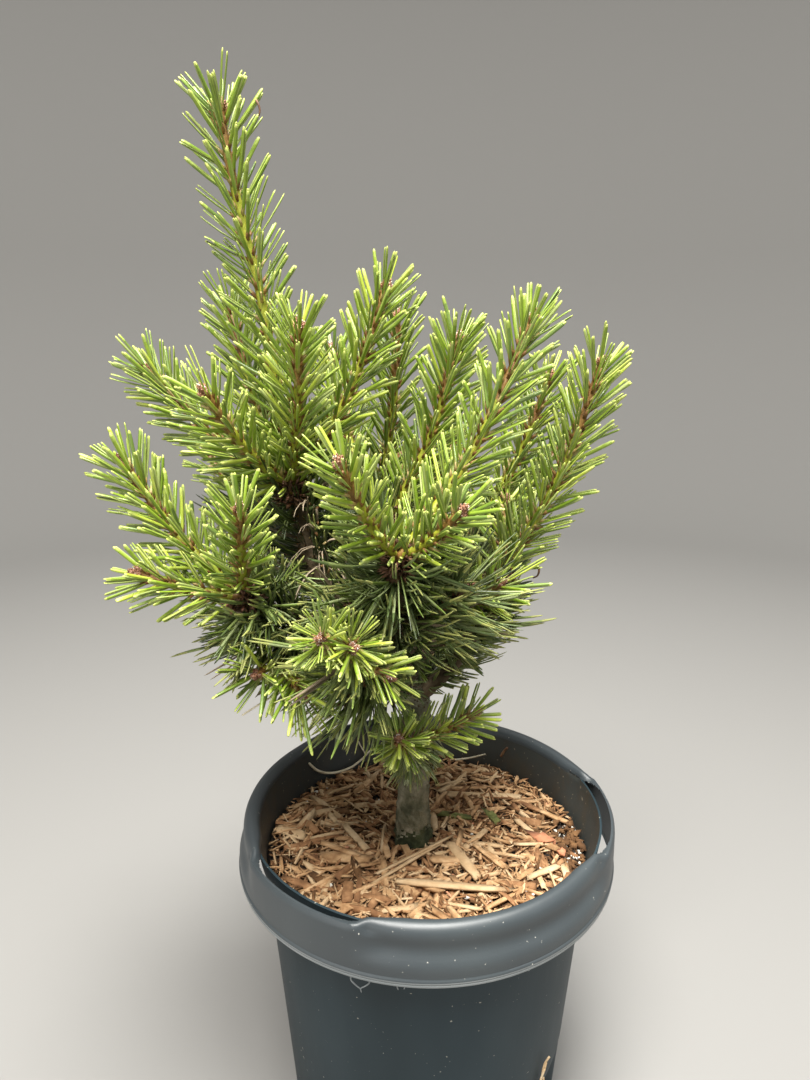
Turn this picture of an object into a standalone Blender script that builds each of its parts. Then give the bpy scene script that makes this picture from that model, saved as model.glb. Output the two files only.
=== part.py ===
"""Potted dwarf scots pine: nursery pot with a rolled three-grip rim, potting
mix, a leaning trunk, tapered boughs and one solid for every shoot of needles.

Run with: blender --background --python part.py
Units are metres, +Z up.  The origin is the centre of the pot's flat underside.
"""
import bpy
import bmesh
import math
import numpy as np
from mathutils import Vector
from mathutils.bvhtree import BVHTree

MM = 0.001

# ---------------------------------------------------------------- dimensions
POT_H = 241.0            # floor to the top of the rolled rim
BASE_R = 95.3            # outer radius of the flat underside
TAPER = 0.0769           # gain of outer radius per mm of height
FLARE_Z = 214.0          # the wall opens out a little above this height
WALL_TOP_Z = 235.6       # cut edge of the inner wall, under the rolled rim
WALL_TOP_R = 114.6       # outer radius of the wall there
WALL_T = 1.9
FLOOR_T = 2.6
LIP_R = 125.0            # outermost edge of the hanging collar
LIP_Z = 207.5
COLLAR_T = 1.7
GAP = 0.35               # air between touching solids

GRIP_CENTRES = (-7.0, -130.0, 113.0)     # degrees, the three cut-out grips
GRIP_HALF = 20.0                          # half width of a grip, degrees

DRAIN_CENTRES = (-28.0, 62.0, 152.0, -118.0)   # degrees, heel recesses
DRAIN_HALF = 15.0        # half width of a recess, degrees
DRAIN_TOP = 76.0         # height where a recess starts
DRAIN_DEPTH = 9.0        # how far the heel is pushed in

SOIL_TOP = 208.6         # level of the potting mix round the trunk
SOIL_CROWN = 2.2         # how much it falls and rises towards the wall

TRUNK_R = 11.6           # trunk radius just above the flare
ROOT_R = 14.0            # radius of the root flare at the mix
NEEDLE = 27.0            # how far needles reach past a bud

# --------------------------------------------------------------- clean start
for ob in list(bpy.data.objects):
    bpy.data.objects.remove(ob, do_unlink=True)

pine = bpy.data.collections.new("potted_pine")
guides = bpy.data.collections.new("cutters")
bpy.context.scene.collection.children.link(pine)
bpy.context.scene.collection.children.link(guides)


# ----------------------------------------------------------------- materials
def material(name, colour, roughness, metallic=0.0):
    mat = bpy.data.materials.new(name)
    mat.use_nodes = True
    shader = mat.node_tree.nodes["Principled BSDF"]
    shader.inputs["Base Color"].default_value = (*colour, 1.0)
    shader.inputs["Roughness"].default_value = roughness
    shader.inputs["Metallic"].default_value = metallic
    mat.diffuse_color = (*colour, 1.0)
    return mat


PLASTIC = material("pot_plastic", (0.045, 0.062, 0.068), 0.45)
MIX = material("potting_mix", (0.30, 0.19, 0.10), 0.95)
BARK = material("bark", (0.13, 0.12, 0.085), 0.9)
YOUNG = material("young_needles", (0.16, 0.30, 0.07), 0.5)
OLD = material("old_needles", (0.05, 0.12, 0.06), 0.55)


# ------------------------------------------------------------------- helpers
def finish(mesh, name, mat, angle=35.0):
    """Make the object for a mesh, shade it and put it in the collection."""
    mesh.name = name
    mesh.materials.clear()
    mesh.materials.append(mat)
    mesh.shade_smooth()
    mesh.set_sharp_from_angle(angle=math.radians(angle))
    ob = bpy.data.objects.new(name, mesh)
    pine.objects.link(ob)
    return ob


def evaluated_mesh(ob):
    """The object's mesh with its modifiers applied, in world space."""
    bpy.context.view_layer.update()
    graph = bpy.context.evaluated_depsgraph_get()
    mesh = bpy.data.meshes.new_from_object(ob.evaluated_get(graph))
    mesh.transform(ob.matrix_world)
    return mesh


def weld(mesh, dist=0.00002):
    bm = bmesh.new()
    bm.from_mesh(mesh)
    bmesh.ops.remove_doubles(bm, verts=bm.verts, dist=dist)
    bmesh.ops.recalc_face_normals(bm, faces=bm.faces)
    bm.to_mesh(mesh)
    bm.free()
    return mesh


def keep_largest(mesh):
    """Drop the crumbs that a cut leaves, and weld slivers away."""
    bm = bmesh.new()
    bm.from_mesh(mesh)
    bmesh.ops.remove_doubles(bm, verts=bm.verts, dist=0.00004)
    bmesh.ops.dissolve_degenerate(bm, edges=bm.edges, dist=0.00003)
    left = set(bm.verts)
    islands = []
    while left:
        seed = left.pop()
        group, todo = {seed}, [seed]
        while todo:
            v = todo.pop()
            for e in v.link_edges:
                w = e.other_vert(v)
                if w in left:
                    left.remove(w)
                    group.add(w)
                    todo.append(w)
        islands.append(group)
    islands.sort(key=len, reverse=True)
    for group in islands[1:]:
        bmesh.ops.delete(bm, geom=list(group), context="VERTS")
    bmesh.ops.recalc_face_normals(bm, faces=bm.faces)
    bm.to_mesh(mesh)
    bm.free()
    return mesh


def cut(mesh, cutters):
    """Subtract every cutter object from the mesh."""
    ob = bpy.data.objects.new("blank", mesh)
    pine.objects.link(ob)
    for cutter in cutters:
        mod = ob.modifiers.new("cut", "BOOLEAN")
        mod.operation = "DIFFERENCE"
        mod.solver = "EXACT"
        mod.object = cutter
    result = evaluated_mesh(ob)
    bpy.data.objects.remove(ob, do_unlink=True)
    return keep_largest(result)


def as_cutter(mesh, name):
    ob = bpy.data.objects.new(name, mesh)
    ob.hide_render = True
    ob.display_type = "WIRE"
    guides.objects.link(ob)
    return ob


def turned(profile, steps):
    """Turn a profile of (radius, height) pairs in mm about Z."""
    mesh = bpy.data.meshes.new("profile")
    verts = [(r * MM, 0.0, z * MM) for r, z in profile]
    mesh.from_pydata(verts, [(i, i + 1) for i in range(len(verts) - 1)], [])
    ob = bpy.data.objects.new("profile", mesh)
    pine.objects.link(ob)
    screw = ob.modifiers.new("turn", "SCREW")
    screw.axis = "Z"
    screw.angle = math.tau
    screw.steps = steps
    screw.render_steps = steps
    screw.use_merge_vertices = True
    screw.merge_threshold = 0.00001
    result = evaluated_mesh(ob)
    bpy.data.objects.remove(ob, do_unlink=True)
    return weld(result)


def smoothstep(a, b, x):
    t = min(1.0, max(0.0, (x - a) / (b - a)))
    return t * t * (3.0 - 2.0 * t)


def spline(points, n):
    """n points, evenly spaced, on a smooth curve through the given ones."""
    p = [Vector(q) for q in points]
    p = [2 * p[0] - p[1]] + p + [2 * p[-1] - p[-2]]
    fine = []
    for i in range(1, len(p) - 2):
        for k in range(16):
            t = k / 16.0
            a, b, c, d = p[i - 1], p[i], p[i + 1], p[i + 2]
            fine.append(0.5 * ((2 * b) + (c - a) * t
                               + (2 * a - 5 * b + 4 * c - d) * t * t
                               + (3 * b - a - 3 * c + d) * t ** 3))
    fine.append(p[-2])
    run = [0.0]
    for a, b in zip(fine, fine[1:]):
        run.append(run[-1] + (b - a).length)
    out = []
    j = 0
    for i in range(n):
        s = run[-1] * i / (n - 1)
        while j < len(run) - 2 and run[j + 1] < s:
            j += 1
        f = (s - run[j]) / max(1e-9, run[j + 1] - run[j])
        out.append(fine[j].lerp(fine[j + 1], f))
    return out


# ----------------------------------------------------------------------- pot
def wall_radius(z):
    """Outer radius of the tapered wall at a height, without the recesses."""
    r = BASE_R + TAPER * z
    if z > FLARE_Z:
        f = (z - FLARE_Z) / (WALL_TOP_Z - FLARE_Z)
        r0 = BASE_R + TAPER * FLARE_Z
        r = r0 + (WALL_TOP_R - r0) * f ** 1.3
    return r


def recess(azimuth, z):
    """How far a heel recess pushes the wall in at an azimuth and height."""
    deep = 0.0
    for centre in DRAIN_CENTRES:
        d = abs((math.degrees(azimuth) - centre + 180.0) % 360.0 - 180.0)
        side = 1.0 - smoothstep(DRAIN_HALF * 0.45, DRAIN_HALF, d)
        deep = max(deep, side * (1.0 - smoothstep(22.0, DRAIN_TOP, z)))
    return DRAIN_DEPTH * deep


def push_in(mesh, share=1.0, reach=0.0, centre_free=70.0):
    """Press the heel recesses into a turned shell or plug."""
    for v in mesh.vertices:
        r = math.hypot(v.co.x, v.co.y) / MM
        if r < centre_free:
            continue
        a = math.atan2(v.co.y, v.co.x)
        deep = max(recess(a + da, v.co.z / MM - 60.0 * abs(reach))
                   for da in (-reach, 0.0, reach))
        k = (r - share * deep) / r
        v.co.x *= k
        v.co.y *= k
    mesh.update()


POT_STEPS = 40
levels = (FLARE_Z, 76.0, 58.0, 40.0, 22.0, 0.0)
inner = [(0.0, FLOOR_T), (60.0, FLOOR_T)]
inner += [(wall_radius(max(z, FLOOR_T)) - WALL_T, max(z, FLOOR_T)) for z in reversed(levels)]
inner += [(WALL_TOP_R - WALL_T, WALL_TOP_Z)]
outer = [(WALL_TOP_R, WALL_TOP_Z)] + [(wall_radius(z), z) for z in levels]
outer += [(60.0, 0.0), (0.0, 0.0)]
pot_mesh = turned(inner + outer, POT_STEPS)
push_in(pot_mesh)

# One drain opening through the wall of each recess.
drains = []
for i, centre in enumerate(DRAIN_CENTRES):
    a = math.radians(centre)
    bm = bmesh.new()
    bmesh.ops.create_cone(bm, cap_ends=True, segments=10, radius1=11 * MM,
                          radius2=11 * MM, depth=16 * MM)
    for v in bm.verts:
        x, y, z = v.co
        r = (BASE_R - 6.0) * MM + z          # the cutter runs outwards
        v.co = Vector((r * math.cos(a) - y * math.sin(a),
                       r * math.sin(a) + y * math.cos(a),
                       20 * MM + x * 0.75))
    bmesh.ops.recalc_face_normals(bm, faces=bm.faces)
    mesh = bpy.data.meshes.new("drain")
    bm.to_mesh(mesh)
    bm.free()
    drains.append(as_cutter(mesh, "drain_cutter_%d" % i))
finish(cut(pot_mesh, drains), "pot_body", PLASTIC)


# The rolled rim: the collar hangs all round, and the crown that joins it to
# the wall is left out at the three grips.  Each section is a closed loop of
# (radius, height); the loft passes from one to the other at the grip's ends.
def crown_section():
    outer_side = [(LIP_R, LIP_Z), (LIP_R - 0.2, 214.0), (LIP_R - 2.0, 224.0),
                  (122.0, 233.0), (120.6, 239.4), (118.0, POT_H),
                  (114.6, 239.8), (113.2, 237.0)]
    inner_side = [(113.2, WALL_TOP_Z + GAP), (115.1, WALL_TOP_Z + GAP),
                  (118.0, 239.1), (120.2, 234.0), (LIP_R - 3.7, 224.0),
                  (LIP_R - COLLAR_T, LIP_Z)]
    return outer_side + inner_side


def grip_section():
    """The collar alone; its loop has as many points as the crown's."""
    outer_side = [(LIP_R, LIP_Z), (LIP_R + 0.1, 214.0), (LIP_R + 0.1, 222.0),
                  (LIP_R - 0.2, 230.0), (LIP_R - 0.5, 235.0),
                  (LIP_R - 0.8, 238.6), (LIP_R - 0.9, 240.0),
                  (LIP_R - 1.0, 240.6)]
    inner_side = [(LIP_R - 1.8, 240.6), (LIP_R - 2.3, 239.0),
                  (LIP_R - 2.3, 236.0), (LIP_R - 2.1, 230.0),
                  (LIP_R - 1.8, 221.0), (LIP_R - COLLAR_T, LIP_Z)]
    return outer_side + inner_side


def rim():
    """Loft of the two sections round the pot."""
    stations = []
    for centre in GRIP_CENTRES:
        for d in (-GRIP_HALF - 3.5, -GRIP_HALF, -10.0, 0.0, 10.0,
                  GRIP_HALF, GRIP_HALF + 3.5):
            share = 1.0 if abs(d) <= GRIP_HALF else 0.0
            stations.append(((centre + d) % 360.0, share))
    order = sorted(stations)
    filled = []
    for i, (a, s) in enumerate(order):
        b, t = order[(i + 1) % len(order)]
        b = b if b > a else b + 360.0
        filled.append((a, s))
        if s == 0.0 and t == 0.0:
            n = int((b - a) // 9.0)
            filled += [(a + (b - a) * k / n, 0.0) for k in range(1, n)]
    one, two = crown_section(), grip_section()
    bm = bmesh.new()
    loops = []
    for a, s in filled:
        ring = []
        for (r0, z0), (r1, z1) in zip(one, two):
            r, z = r0 + (r1 - r0) * s, z0 + (z1 - z0) * s
            ring.append(bm.verts.new((r * MM * math.cos(math.radians(a)),
                                      r * MM * math.sin(math.radians(a)),
                                      z * MM)))
        loops.append(ring)
    m = len(one)
    for i in range(len(loops)):
        p, q = loops[i], loops[(i + 1) % len(loops)]
        for j in range(m):
            k = (j + 1) % m
            bm.faces.new((p[j], q[j], q[k], p[k]))
    bmesh.ops.recalc_face_normals(bm, faces=bm.faces)
    mesh = bpy.data.meshes.new("pot_rim")
    bm.to_mesh(mesh)
    bm.free()
    return mesh


finish(rim(), "pot_rim", PLASTIC)


# ---------------------------------------------------------------- potting mix
def soil_height(x, y):
    """Gently uneven top of the mix, flat round the trunk's foot."""
    r = math.hypot(x, y)
    f = smoothstep(24.0, 60.0, r)
    wave = math.sin(x * 0.07 + 1.1) * math.cos(y * 0.06 - 0.4)
    return SOIL_TOP + f * SOIL_CROWN * (wave + 0.5 * smoothstep(80.0, 108.0, r))


side = [(wall_radius(z) - WALL_T - GAP, z) for z in
        (SOIL_TOP, 76.0, 58.0, 40.0, 22.0, FLOOR_T + GAP)]
plug = [(0.0, SOIL_TOP), (24.0, SOIL_TOP), (50.0, SOIL_TOP), (80.0, SOIL_TOP)]
plug += side + [(60.0, FLOOR_T + GAP), (0.0, FLOOR_T + GAP)]
soil_mesh = turned(plug, POT_STEPS)
for v in soil_mesh.vertices:
    if abs(v.co.z / MM - SOIL_TOP) < 0.01:
        v.co.z = soil_height(v.co.x / MM, v.co.y / MM) * MM
push_in(soil_mesh, 1.15, 0.12)
finish(soil_mesh, "potting_mix", MIX)


# --------------------------------------------------------------------- limbs
# The trunk's axis, from the foot to the leader's bud, and its radius at each
# height; every other limb runs from a point on it to a whorl of shoots.
TRUNK_PATH = ((-9, 2, 209), (-8, 2, 262), (-7, 3, 312), (-20, 3, 341),
              (-40, 3, 364), (-59, 3, 388), (-72, 3, 409), (-79, 4, 440),
              (-84, 4, 469), (-91, 4, 520), (-99, 4, 575), (-107, 4, 612),
              (-113, 4, 645), (-117, 4, 674))
WHORL = {
    "top": (-83, -6, 458),
    "left": (-107, -48, 404),
    "front": (-18, -64, 431),
    "centre": (-22, 6, 441),
    "right": (44, -5, 402),
    "back": (-36, 50, 430),
    "back_left": (-112, 54, 428),
    "back_right": (36, 50, 424),
    "rear": (-28, 84, 402),
    "low": (-14, -33, 302),
    "front_low": (-48, -78, 384),
    "left_low": (-88, -44, 365),
}
# limb: (height on the trunk where it leaves, whorl it reaches,
#        radius at the trunk, radius at the whorl, how far it sags)
LIMBS = {
    "bough_right": (314, "right", 6.0, 3.6, 9),
    "bough_rear": (334, "rear", 5.2, 3.4, 8),
    "bough_front": (345, "front", 5.4, 3.6, 12),
    "bough_left": (374, "left", 5.4, 3.6, 7),
    "bough_centre": (380, "centre", 4.6, 3.2, 8),
    "bough_back": (396, "back", 4.4, 3.2, 6),
    "bough_back_right": (327, "back_right", 4.8, 3.2, 12),
    "bough_back_left": (404, "back_left", 4.6, 3.2, 7),
    "twig_low": (272, "low", 3.8, 2.6, 3),
    "twig_front": (322, "front_low", 3.8, 2.6, 8),
    "twig_left": (352, "left_low", 3.6, 2.4, 6),
}


def trunk_radius(z):
    """Radius of the trunk by height: flare, slow taper, slim leader, bud."""
    if z < 469.0:
        f = (z - 209.0) / 260.0
        r = TRUNK_R * (1.0 - 0.55 * f) + (ROOT_R - TRUNK_R) * math.exp(-(z - 209.0) / 9.0)
        r += 0.5 * math.exp(-((z - 458.0) / 7.0) ** 2)
        return r - (r - 3.0) * smoothstep(455.0, 469.0, z)
    f = (z - 469.0) / 205.0
    r = 3.0 - 0.9 * f
    r += 1.1 * math.exp(-((z - 666.0) / 4.5) ** 2)
    return r - 2.2 * smoothstep(668.0, 674.5, z)


def tube(name, points, radii, sides_level):
    """A tapered round limb with capped ends, as a welded mesh."""
    curve = bpy.data.curves.new(name, "CURVE")
    curve.dimensions = "3D"
    curve.bevel_depth = MM
    curve.bevel_resolution = sides_level
    curve.use_fill_caps = True
    line = curve.splines.new("POLY")
    line.points.add(len(points) - 1)
    for p, co, r in zip(line.points, points, radii):
        p.co = (co[0] * MM, co[1] * MM, co[2] * MM, 1.0)
        p.radius = r
    ob = bpy.data.objects.new(name, curve)
    pine.objects.link(ob)
    mesh = evaluated_mesh(ob)
    bpy.data.objects.remove(ob, do_unlink=True)
    return weld(mesh)


trunk_line = spline(TRUNK_PATH, 60)


def trunk_at(z):
    """The point of the trunk's axis at a height."""
    for a, b in zip(trunk_line, trunk_line[1:]):
        if a.z <= z <= b.z:
            return a.lerp(b, (z - a.z) / (b.z - a.z))
    return trunk_line[-1].copy()


heights = (209, 212, 217, 226, 262, 298, 320, 341, 364, 388, 409, 440,
           458, 469, 520, 575, 612, 645, 661, 667, 671, 674.5)
trunk_pts = [trunk_at(z) for z in heights]
trunk_pts[0] = Vector((-9, 2, SOIL_TOP + GAP))
trunk_pts[1] = Vector((-9, 2, 212))
trunk_rad = [trunk_radius(z) for z in heights]


def flare_lobes(mesh):
    """Five shallow root ridges round the foot."""
    for v in mesh.vertices:
        z = v.co.z / MM
        if z < 240.0:
            x, y = v.co.x / MM + 9.0, v.co.y / MM - 2.0
            k = 1.0 + 0.09 * math.cos(5 * math.atan2(y, x) + 0.6) * (240.0 - z) / 31.0
            v.co.x = (x * k - 9.0) * MM
            v.co.y = (y * k + 2.0) * MM
    return mesh


trunk_mesh = flare_lobes(tube("trunk", trunk_pts, trunk_rad, 3))
finish(trunk_mesh, "trunk", BARK, 60)
cutters = {"trunk": as_cutter(flare_lobes(tube("t", trunk_pts[:1] + trunk_pts[1:],
                                               [r * 1.03 + GAP for r in trunk_rad], 3)),
                              "trunk_cutter")}
# Sites are the axes that a mass of needles must stay clear of: points with
# the radius that belongs to each.
limb_sites = {"trunk": [(p, r) for p, r in zip(spline(TRUNK_PATH, 60),
              [trunk_radius(p.z) for p in spline(TRUNK_PATH, 60)])]}


def limb_path(height, whorl, sag):
    a, b = trunk_at(height), Vector(WHORL[whorl])
    out = (b - a).normalized()
    mid = a.lerp(b, 0.5) + Vector((out.x, out.y, -0.8)) * sag
    return spline((a, mid, b - out * 1.2), 7)


for name, (height, whorl, r0, r1, sag) in LIMBS.items():
    path = limb_path(height, whorl, sag)
    n = len(path)
    radii = [r0 + (r1 - r0) * (i / (n - 1)) ** 0.8 for i in range(n)]
    mesh = tube(name, path, radii, 2)
    mesh = cut(mesh, list(cutters.values()))
    finish(mesh, name, BARK, 60)
    beyond = path[-1] + (path[-1] - path[-2]).normalized() * 2 * GAP
    cutters[name] = as_cutter(tube(name, path[:-1] + [beyond],
                                   [r * 1.04 + 2 * GAP for r in radii], 2),
                              name + "_cutter")
    limb_sites[name] = [(p, r) for p, r in zip(path, radii)]

# ------------------------------------------------------------ needle masses
# shoot: (whorl, x, y, z of its bud, reach of the needles to the side)
SHOOTS = {
    "needles_top_front": ("top", -72, -34, 555, 22),
    "needles_top_front_left": ("top", -121, -52, 521, 21),
    "needles_top_left": ("top", -171, 10, 530, 22),
    "needles_top_back_left": ("top", -128, 52, 570, 22),
    "needles_top_right": ("top", -25, 6, 577, 22),
    "needles_left_up": ("left", -176, -30, 480, 22),
    "needles_left_out": ("left", -162, -62, 423, 20),
    "needles_left_front": ("left", -100, -78, 463, 20),
    "needles_front_left": ("front", -46, -98, 490, 20),
    "needles_front_right": ("front", 14, -92, 465, 19),
    "needles_front_up": ("front", 56, -30, 559, 22),
    "needles_centre_up": ("centre", 18, 10, 548, 22),
    "needles_back_up": ("back", -19, 62, 562, 21),
    "needles_back_mid": ("back", -66, 92, 540, 20),
    "needles_right_back_up": ("back_right", 81, 52, 523, 21),
    "needles_right_up": ("right", 101, -6, 534, 22),
    "needles_right_inner": ("right", 53, 30, 446, 17),
    "needles_right_front": ("right", 44, -40, 412, 18),
    "needles_front_low": ("front_low", -52, -110, 402, 22),
    "needles_front_low_right": ("front_low", -22, -94, 376, 19),
    "needles_low_right": ("low", 29, -26, 316, 17),
    "needles_low_front": ("low", -18, -68, 326, 18),
    "needles_left_low": ("left_low", -98, -70, 366, 19),
    "needles_left_low_front": ("left_low", -70, -78, 356, 17),
    "needles_back_left_out": ("back_left", -156, 82, 468, 20),
    "needles_back_left_up": ("back_left", -118, 96, 500, 20),
    "needles_back_left_low": ("back_left", -150, 92, 420, 19),
    "needles_rear_left": ("rear", -62, 138, 474, 20),
    "needles_rear_mid": ("rear", -18, 150, 456, 20),
    "needles_rear_right": ("rear", 28, 128, 478, 20),
    "needles_rear_low": ("rear", -30, 140, 392, 18),
    "needles_back_right_out": ("back_right", 98, 86, 472, 20),
    "needles_back_right_low": ("back_right", 70, 104, 420, 19),
}
# older needles: (x, y, z of the two ends of the axis, reach to the side)
OLD_MASSES = {
    "old_needles_left": (-66, -32, 374, -118, -58, 372, 22),
    "old_needles_centre": (-60, -30, 396, -80, -40, 440, 19),
    "old_needles_front": (-2, -40, 384, 18, -62, 416, 20),
    "old_needles_right": (30, -2, 368, 76, -4, 394, 19),
    "old_needles_low": (-36, -44, 354, -56, -54, 330, 17),
    "old_needles_tuft": (-10, -19, 298, -10, -22, 264, 13),
    "old_needles_back": (0, 40, 372, 14, 84, 384, 20),
    "old_needles_back_left": (-66, 34, 396, -88, 84, 396, 20),
}
SAMPLES = 14
RINGS, SIDES = 7, 9


def shoot_axis(whorl, x, y, z):
    """Axis from the whorl to a needle's length past the bud."""
    a, b = Vector(WHORL[whorl]), Vector((x, y, z))
    run = b - a
    out = Vector((run.x, run.y, 0.0))
    out = out.normalized() if out.length > 1.0 else Vector((0, 0, 0))
    mid = a.lerp(b, 0.5) + (out * 0.8 - Vector((0, 0, 0.5))) * 0.05 * run.length
    end = b + (b - mid).normalized() * NEEDLE
    start = a + (mid - a).normalized() * 6.0
    return spline((start, mid, b, end), SAMPLES)


def shoot_reach(f, length):
    """Share of the full reach at a part of the axis, for a young shoot."""
    s = f * length
    opened = 0.16 + 0.84 * smoothstep(0.0, 26.0, s)
    closed = 1.0 - 0.55 * smoothstep(length - 30.0, length + 6.0, s)
    return opened * closed


def old_reach(f, length):
    return 0.45 + 0.55 * math.sin(math.pi * min(1.0, 0.15 + 0.8 * f))


bodies = {}
line = [trunk_at(z) for z in np.linspace(484, 674, 12)]
up = (line[-1] - line[-2]).normalized()
bodies["needles_leader"] = (spline(line + [line[-1] + up * NEEDLE], SAMPLES), 25.0,
                            shoot_reach, "trunk", YOUNG)
for name, (whorl, x, y, z, reach) in SHOOTS.items():
    bodies[name] = (shoot_axis(whorl, x, y, z), reach, shoot_reach, None, YOUNG)
for name, (x0, y0, z0, x1, y1, z1, reach) in OLD_MASSES.items():
    bodies[name] = (spline(((x0, y0, z0), (x1, y1, z1)), SAMPLES), reach,
                    old_reach, None, OLD)

# Every axis as an array of points with the local reach beside it.
sites = {}
for name, (axis, reach, law, own, mat) in bodies.items():
    length = sum((b - a).length for a, b in zip(axis, axis[1:]))
    sites[name] = (np.array(axis), np.array([reach * law(i / (SAMPLES - 1), length)
                                             for i in range(SAMPLES)]), length)


def near(q, pts):
    """Distance from a point to a polyline, and where along it that is."""
    a, b = pts[:-1], pts[1:]
    ab = b - a
    t = np.clip(((q - a) * ab).sum(1) / np.maximum(1e-9, (ab * ab).sum(1)), 0.0, 1.0)
    d = np.linalg.norm(a + ab * t[:, None] - q, axis=1)
    i = int(d.argmin())
    return float(d[i]), i + float(t[i])


def free_reach(name, p, n, reach, own):
    """The reach in direction n that stays clear of all other axes."""
    local = max(4.0, reach)
    others = []
    for other, (pts, radii, _) in sites.items():
        if other != name and np.linalg.norm(pts - p, axis=1).min() < 2.6 * local + 26.0:
            others.append((pts, np.maximum(radii, 4.0), 3.2))
    for limb, rows in limb_sites.items():
        if limb != own:
            pts = np.array([q for q, _ in rows])
            if np.linalg.norm(pts - p, axis=1).min() < 2.0 * local + 20.0:
                others.append((pts, np.array([r * 1.25 + 2.2 for _, r in rows]), 1.4))
    for k in range(24):
        r = reach * (1.0 - k / 25.0)
        q = p + n * r
        good = True
        for pts, radii, air in others:
            d, at = near(q, pts)
            i = min(len(radii) - 1, int(round(at)))
            if d / radii[i] < r / local + 2.0 * air / (local + radii[i]):
                good = False
                break
        if good:
            return r
    return reach * 0.04


def needle_mass(name, axis, reach, law, own, seed):
    """An uneven closed spindle round an axis, kept clear of its neighbours."""
    pts, radii, length = sites[name]
    bm = bmesh.new()
    bmesh.ops.create_uvsphere(bm, u_segments=SIDES, v_segments=RINGS, radius=1.0)
    normal = None
    frames = []
    for i in range(SAMPLES):
        t = Vector(pts[min(i + 1, SAMPLES - 1)]) - Vector(pts[max(i - 1, 0)])
        t.normalize()
        if normal is None:
            normal = t.orthogonal().normalized()
        normal = (normal - t * normal.dot(t)).normalized()
        frames.append((normal.copy(), t.cross(normal)))
    for v in bm.verts:
        f = math.acos(max(-1.0, min(1.0, -v.co.z))) / math.pi
        phi = math.atan2(v.co.y, v.co.x)
        pole = f < 1e-4 or f > 1 - 1e-4
        at = f * (SAMPLES - 1)
        i = min(SAMPLES - 2, int(at))
        p = pts[i] + (pts[i + 1] - pts[i]) * (at - i)
        if not pole:
            nv, bv = frames[min(SAMPLES - 1, int(round(at)))]
            n = np.array(nv * math.cos(phi) + bv * math.sin(phi))
            uneven = (1.0 + 0.09 * math.sin(2 * phi + seed * 1.7 + 5.0 * f)
                      + 0.07 * math.sin(3 * phi - seed * 2.3 - 9.0 * f)
                      + 0.06 * math.cos(5 * phi + seed * 0.9))
            full = reach * law(f, length) * uneven
            r = free_reach(name, p, n, full, own)
            p = p + n * r
        v.co = Vector((p[0] * MM, p[1] * MM, p[2] * MM))
    bmesh.ops.recalc_face_normals(bm, faces=bm.faces)
    mesh = bpy.data.meshes.new(name)
    bm.to_mesh(mesh)
    bm.free()
    return mesh


def touches(mesh, rows):
    """Whether any point of a limb comes close to the mass's surface."""
    co = np.array([v.co for v in mesh.vertices]) / MM
    lo, hi = co.min(0) - 8.0, co.max(0) + 8.0
    return any(all(lo[k] < p[k] < hi[k] for k in range(3)) for p, _ in rows)


def tree_of(mesh):
    bm = bmesh.new()
    bm.from_mesh(mesh)
    bmesh.ops.triangulate(bm, faces=bm.faces)
    tree = BVHTree.FromBMesh(bm)
    bm.free()
    return tree


def swollen(mesh, by, name):
    """A copy of a mass that stands a little proud of it, to cut others with."""
    bm = bmesh.new()
    bm.from_mesh(mesh)
    bm.normal_update()
    for v, n in [(v, v.normal.copy()) for v in bm.verts]:
        v.co += n * by * MM
    copy = bpy.data.meshes.new(name)
    bm.to_mesh(copy)
    bm.free()
    return as_cutter(copy, name)


made = {}
for seed, (name, (axis, reach, law, own, mat)) in enumerate(bodies.items()):
    mesh = needle_mass(name, axis, reach, law, own, seed)
    knives = [cutters[limb] for limb, rows in limb_sites.items() if touches(mesh, rows)]
    tree = tree_of(mesh)
    for other, (other_tree, other_mesh) in made.items():
        if tree.overlap(other_tree):
            knives.append(swollen(other_mesh, 0.7, name + "_from_" + other))
    if knives:
        mesh = cut(mesh, knives)
    bm = bmesh.new()
    bm.from_mesh(mesh)
    bmesh.ops.triangulate(bm, faces=bm.faces)
    bm.to_mesh(mesh)
    bm.free()
    made[name] = (tree_of(mesh), mesh)
    finish(mesh, name, mat, 70)
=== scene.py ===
import math
import bpy
import numpy as np
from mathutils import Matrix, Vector


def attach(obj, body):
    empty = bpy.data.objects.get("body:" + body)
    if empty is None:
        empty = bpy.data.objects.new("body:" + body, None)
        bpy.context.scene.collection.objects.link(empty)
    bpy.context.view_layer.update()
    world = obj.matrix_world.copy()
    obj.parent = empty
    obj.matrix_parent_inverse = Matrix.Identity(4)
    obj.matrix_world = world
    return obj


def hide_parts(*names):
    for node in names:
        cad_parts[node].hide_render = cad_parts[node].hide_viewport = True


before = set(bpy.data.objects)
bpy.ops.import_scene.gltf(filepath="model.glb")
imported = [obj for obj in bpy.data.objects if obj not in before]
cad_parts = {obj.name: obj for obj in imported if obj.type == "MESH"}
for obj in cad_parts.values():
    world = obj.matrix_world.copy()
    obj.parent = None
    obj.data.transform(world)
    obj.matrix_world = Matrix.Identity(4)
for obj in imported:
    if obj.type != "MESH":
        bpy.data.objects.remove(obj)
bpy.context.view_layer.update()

MM = 0.001
TAU = math.tau
GOLD = math.radians(137.508)
rng = np.random.default_rng(40817)

# ------------------------------------------------------------------ camera
cam_data = bpy.data.cameras.new("camera")
cam_data.sensor_fit = "AUTO"
cam_data.sensor_width = 36.0
cam_data.lens = 790.0 / 1080.0 * 36.0
cam_data.clip_start = 0.02
camera = bpy.data.objects.new("camera", cam_data)
camera.location = (-0.01426, -0.47801, 0.55376)
camera.rotation_euler = (math.radians(90.0 - 15.013), 0.0, 0.0)
bpy.context.scene.collection.objects.link(camera)
bpy.context.scene.camera = camera


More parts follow.
